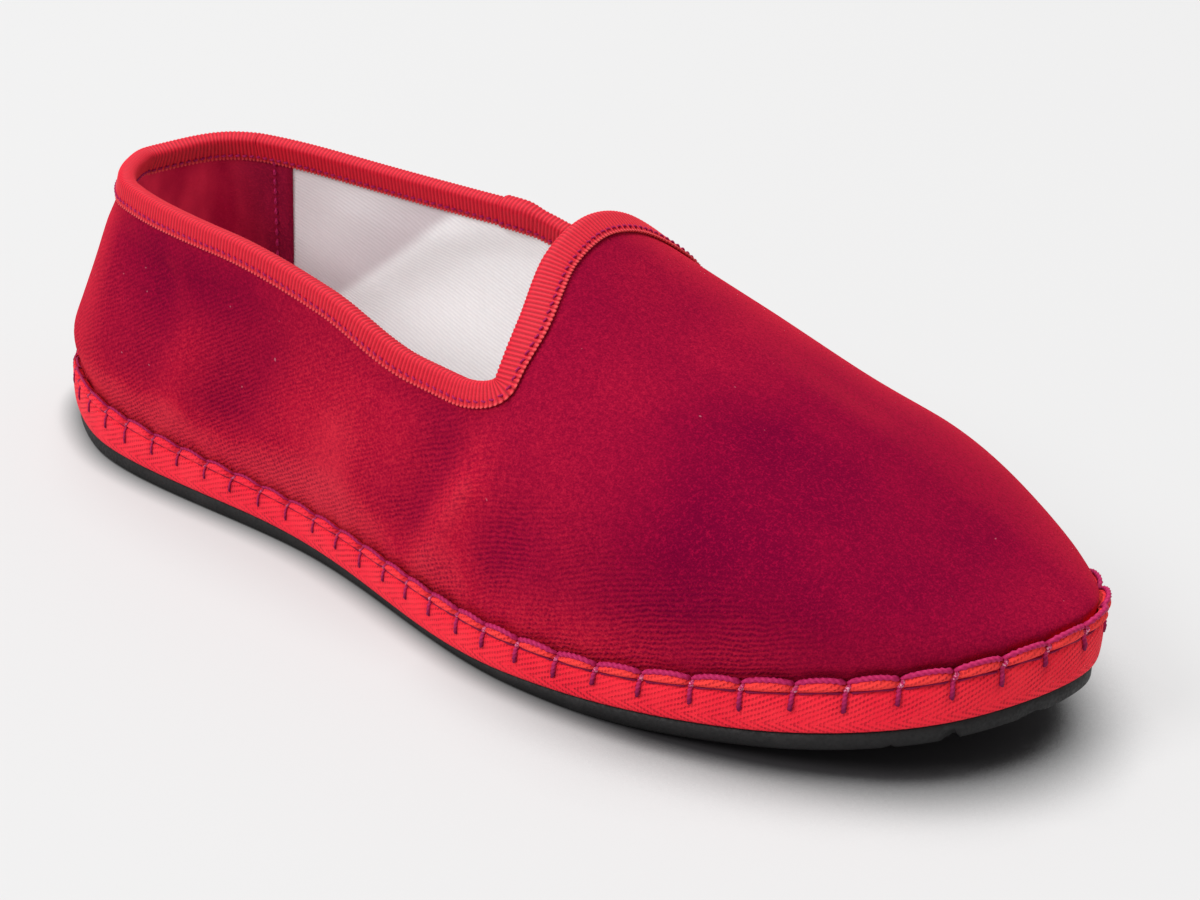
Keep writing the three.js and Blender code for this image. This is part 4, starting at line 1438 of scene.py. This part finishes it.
def sole_slab(inset, bevel, across, bottom, top):
    """A closed slab: each station's loop runs over the underside, up, over the top and down."""
    turns = np.linspace(0, math.pi, SOLE_STATIONS + 1)
    x = station_x(turns)
    shares = np.linspace(0, 1, across)
    edge_outer, edge_inner = (outline_point(side, turns, inset) for side in SIDES)
    outer, inner = (outline_point(side, turns, inset + bevel) for side in SIDES)
    rows, spots = [], []

    def put(flat, height):
        rows.append(np.column_stack([flat, height]))
        spots.append(flat)

    for share in shares:
        flat = lerp(outer, inner, share)
        put(flat, bottom(flat, share))
    put(edge_inner, bottom(edge_inner, 1.0) + bevel)
    put(edge_inner, top(x, 1.0) - bevel / 2)
    for share in shares[::-1]:
        put(lerp(outer, inner, share), top(x, share))
    put(edge_outer, top(x, 0.0) - bevel / 2)
    put(edge_outer, bottom(edge_outer, 0.0) + bevel)
    grid = np.array(rows)
    faces = grid_faces(len(rows), len(turns), loop_rows=True)
    points, faces, first = weld(grid.reshape(-1, 3), faces[:, ::-1])
    return points, faces, np.array(spots).reshape(-1, 2)[first]


def tread(flat, share):
    """Depth of the outsole's grooves at a share of the way across."""
    x = flat[:, 0]
    aside = abs(share - 0.5)
    phase = (x + TREAD_SWING * aside) / TREAD_PITCH
    groove = smooth_step(np.abs((phase % 1) - 0.5), *TREAD_GROOVE)
    kept = smooth_step(x, *TREAD_BACK) * (1 - smooth_step(x, *TREAD_FRONT))
    middle = 1 - smooth_step(aside, *TREAD_MIDDLE)
    at_edge = smooth_step(x, *TREAD_TOE)
    return lerp(*TREAD_DEPTHS, at_edge) * groove * kept * np.maximum(middle, at_edge)


def outsole(material):
    def bottom(flat, share):
        return outsole_bottom(flat[:, 0]) + tread(flat, share)

    def top(x, share):
        return tape_bottom(x) - CLEARANCE

    points, faces, spots = sole_slab(OUTSOLE_INSET, OUTSOLE_BEVEL, OUTSOLE_ACROSS, bottom, top)
    make_piece("outsole_tread", points, faces, material, ("outsole",), spots)


def insole(material):
    def bottom(flat, share):
        return tape_top(flat[:, 0]) - TUCK

    def top(x, share):
        rim = (2 * abs(share - 0.5)) ** INSOLE_RIM_POWER
        return tape_top(x) - TUCK + INSOLE_THICK - INSOLE_DISH * (1 - rim)

    inset = FEATHER + WALL + INSOLE_GAP
    points, faces, spots = sole_slab(inset, INSOLE_BEVEL, INSOLE_ACROSS, bottom, top)
    make_piece("insole_sock", points, faces, material, ("insole",), spots)


# Heel lining

def heel_patch_grid(side):
    """Turn and rise on one side of the heel, from the sole to under the ribbon."""
    ends = np.linspace(0, station_of(HEEL_PATCH_FRONT), PATCH_COLUMNS)
    low_ends = np.linspace(0, station_of(HEEL_PATCH_FRONT - PATCH_LEAN), PATCH_COLUMNS)
    turn, rise, _ = below_edge(side, ends, PATCH_TOP)
    shares = np.linspace(PATCH_LOW, 1, PATCH_ROWS)[:, None]
    return lerp(low_ends[None], turn[None], shares), rise[None] * shares


def inside_points(side, turn, rise, stand):
    points = upper_point(side, turn, rise)
    normals = outward_normal(side, turn, rise)
    height, _ = crease_field(points.reshape(-1, 3))
    return points + normals * (height.reshape(turn.shape) - stand)[..., None], normals


PATCH_STAND = VELVET_THICK + LINING_THICK + PATCH_GAP


def heel_lining(material):
    blocks = {side: inside_points(side, *heel_patch_grid(side), PATCH_STAND)[0] for side in SIDES}
    grid = np.concatenate([blocks["inner"][:, ::-1], blocks["outer"][:, 1:]], axis=1)
    rows, columns, _ = grid.shape
    points, faces = shell(grid.reshape(-1, 3), grid_faces(rows, columns), PATCH_HALF, -PATCH_HALF)
    # Mark for the painted shade toward the front of the patch
    front = smooth_step(points[:, 0], *HEEL_SHADE_SPAN)
    make_piece("heel_lining", points, faces, material, marks={"front": front})


def heel_lining_stitches(material):
    shape = (PATCH_STITCHES, LOCK_STEPS, 3)
    line = np.linspace(*PATCH_STITCH_SPAN, PATCH_STITCHES * LOCK_STEPS)
    stand = PATCH_STAND + PATCH_HALF + np.tile(PATCH_STITCH_LIFTS, PATCH_STITCHES)
    low_foot = station_of(HEEL_PATCH_STITCH - PATCH_LEAN)
    paths, ups = [], []
    for side in SIDES:
        turn, rise, _ = below_edge(side, np.array([station_of(HEEL_PATCH_STITCH)]), PATCH_TOP)
        spots, normals = inside_points(side, lerp(low_foot, turn, line), rise * line, stand)
        paths.append(spots.reshape(shape)[:, :-1])
        ups.append(-normals.reshape(shape)[:, :-1])
    paths, ups = np.vstack(paths), np.vstack(ups)
    make_threads("heel_lining_stitches", paths, ups, PATCH_THREAD, LOCK_TWIST, material)


# Stage

def floor():
    bpy.ops.mesh.primitive_plane_add(size=FLOOR_SIZE)
    plane = bpy.context.object
    plane.name = "floor"
    plane.data.materials.append(floor_material())


def area_light(name, place, size, power):
    data = bpy.data.lights.new(name, "AREA")
    data.shape = "DISK"
    data.size = size
    data.energy = power
    light = bpy.data.objects.new(name, data)
    bpy.context.scene.collection.objects.link(light)
    back = unit(np.array(place) - np.array(LIGHT_AIM))
    side = unit(np.cross((0, 0, 1), back))
    turn = np.column_stack([side, np.cross(back, side), back])
    light.matrix_world = Matrix.Translation(place) @ Matrix(turn.tolist()).to_4x4()


def lights():
    world = bpy.data.worlds.new("studio")
    world.use_nodes = True
    background = world.node_tree.nodes["Background"]
    background.inputs["Color"].default_value = SKY
    background.inputs["Strength"].default_value = SKY_STRENGTH
    bpy.context.scene.world = world
    for light in LIGHTS:
        area_light(*light)


def camera():
    data = bpy.data.cameras.new("camera")
    data.sensor_width = SENSOR
    data.lens = SENSOR * CAMERA_FOCAL / WINDOW_WIDTH
    data.shift_x = (WINDOW_MIDDLE[0] - CAMERA_MIDDLE[0]) / WINDOW_WIDTH
    data.shift_y = (CAMERA_MIDDLE[1] - WINDOW_MIDDLE[1]) / WINDOW_WIDTH
    data.clip_start = NEAREST_SEEN
    item = bpy.data.objects.new("camera", data)
    bpy.context.scene.collection.objects.link(item)
    turn = Matrix(np.column_stack([CAMERA_RIGHT, CAMERA_UP, CAMERA_BACK]).tolist()).to_4x4()
    place = (np.array(CAMERA_PLACE) + (-LENGTH / 2, SIDE_OFFSET, 0)) / 1000
    item.matrix_world = Matrix.Translation(place.tolist()) @ turn
    bpy.context.scene.camera = item


def dress():
    velvet = velvet_material()
    purple = thread_material("purple thread", srgb(140, 12, 72), srgb(190, 34, 96), srgb(96, 6, 48))
    magenta = thread_material("magenta thread", srgb(156, 14, 74), srgb(212, 50, 110), srgb(116, 8, 64))
    dark_thread = thread_material("groove thread", srgb(112, 6, 52), srgb(150, 20, 76), srgb(80, 4, 36))
    lining_twill = twill_material("lining twill", srgb(255, 255, 255), srgb(241, 241, 243), 0.9, 0.06)
    velvet_and_lining(velvet, lining_twill)
    heel_lining(heel_velvet_material())
    heel_lining_stitches(magenta)
    collar_ribbon(ribbon_material())
    ribbon_stitches(purple)
    edge_tape(tape_material())
    blanket_stitches(magenta)
    running_stitches(dark_thread)
    outsole(rubber_material())
    insole(twill_material("sock twill", srgb(240, 235, 233), srgb(216, 208, 206), 1.0, 0.08))
    canvas = twill_material("canvas", srgb(222, 214, 204), srgb(190, 182, 172), 1.3, 0.12)
    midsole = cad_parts["midsole"]
    midsole.data.materials.clear()
    midsole.data.materials.append(canvas)


bpy.context.scene.view_settings.view_transform = "Standard"
floor()
lights()
camera()
dress()
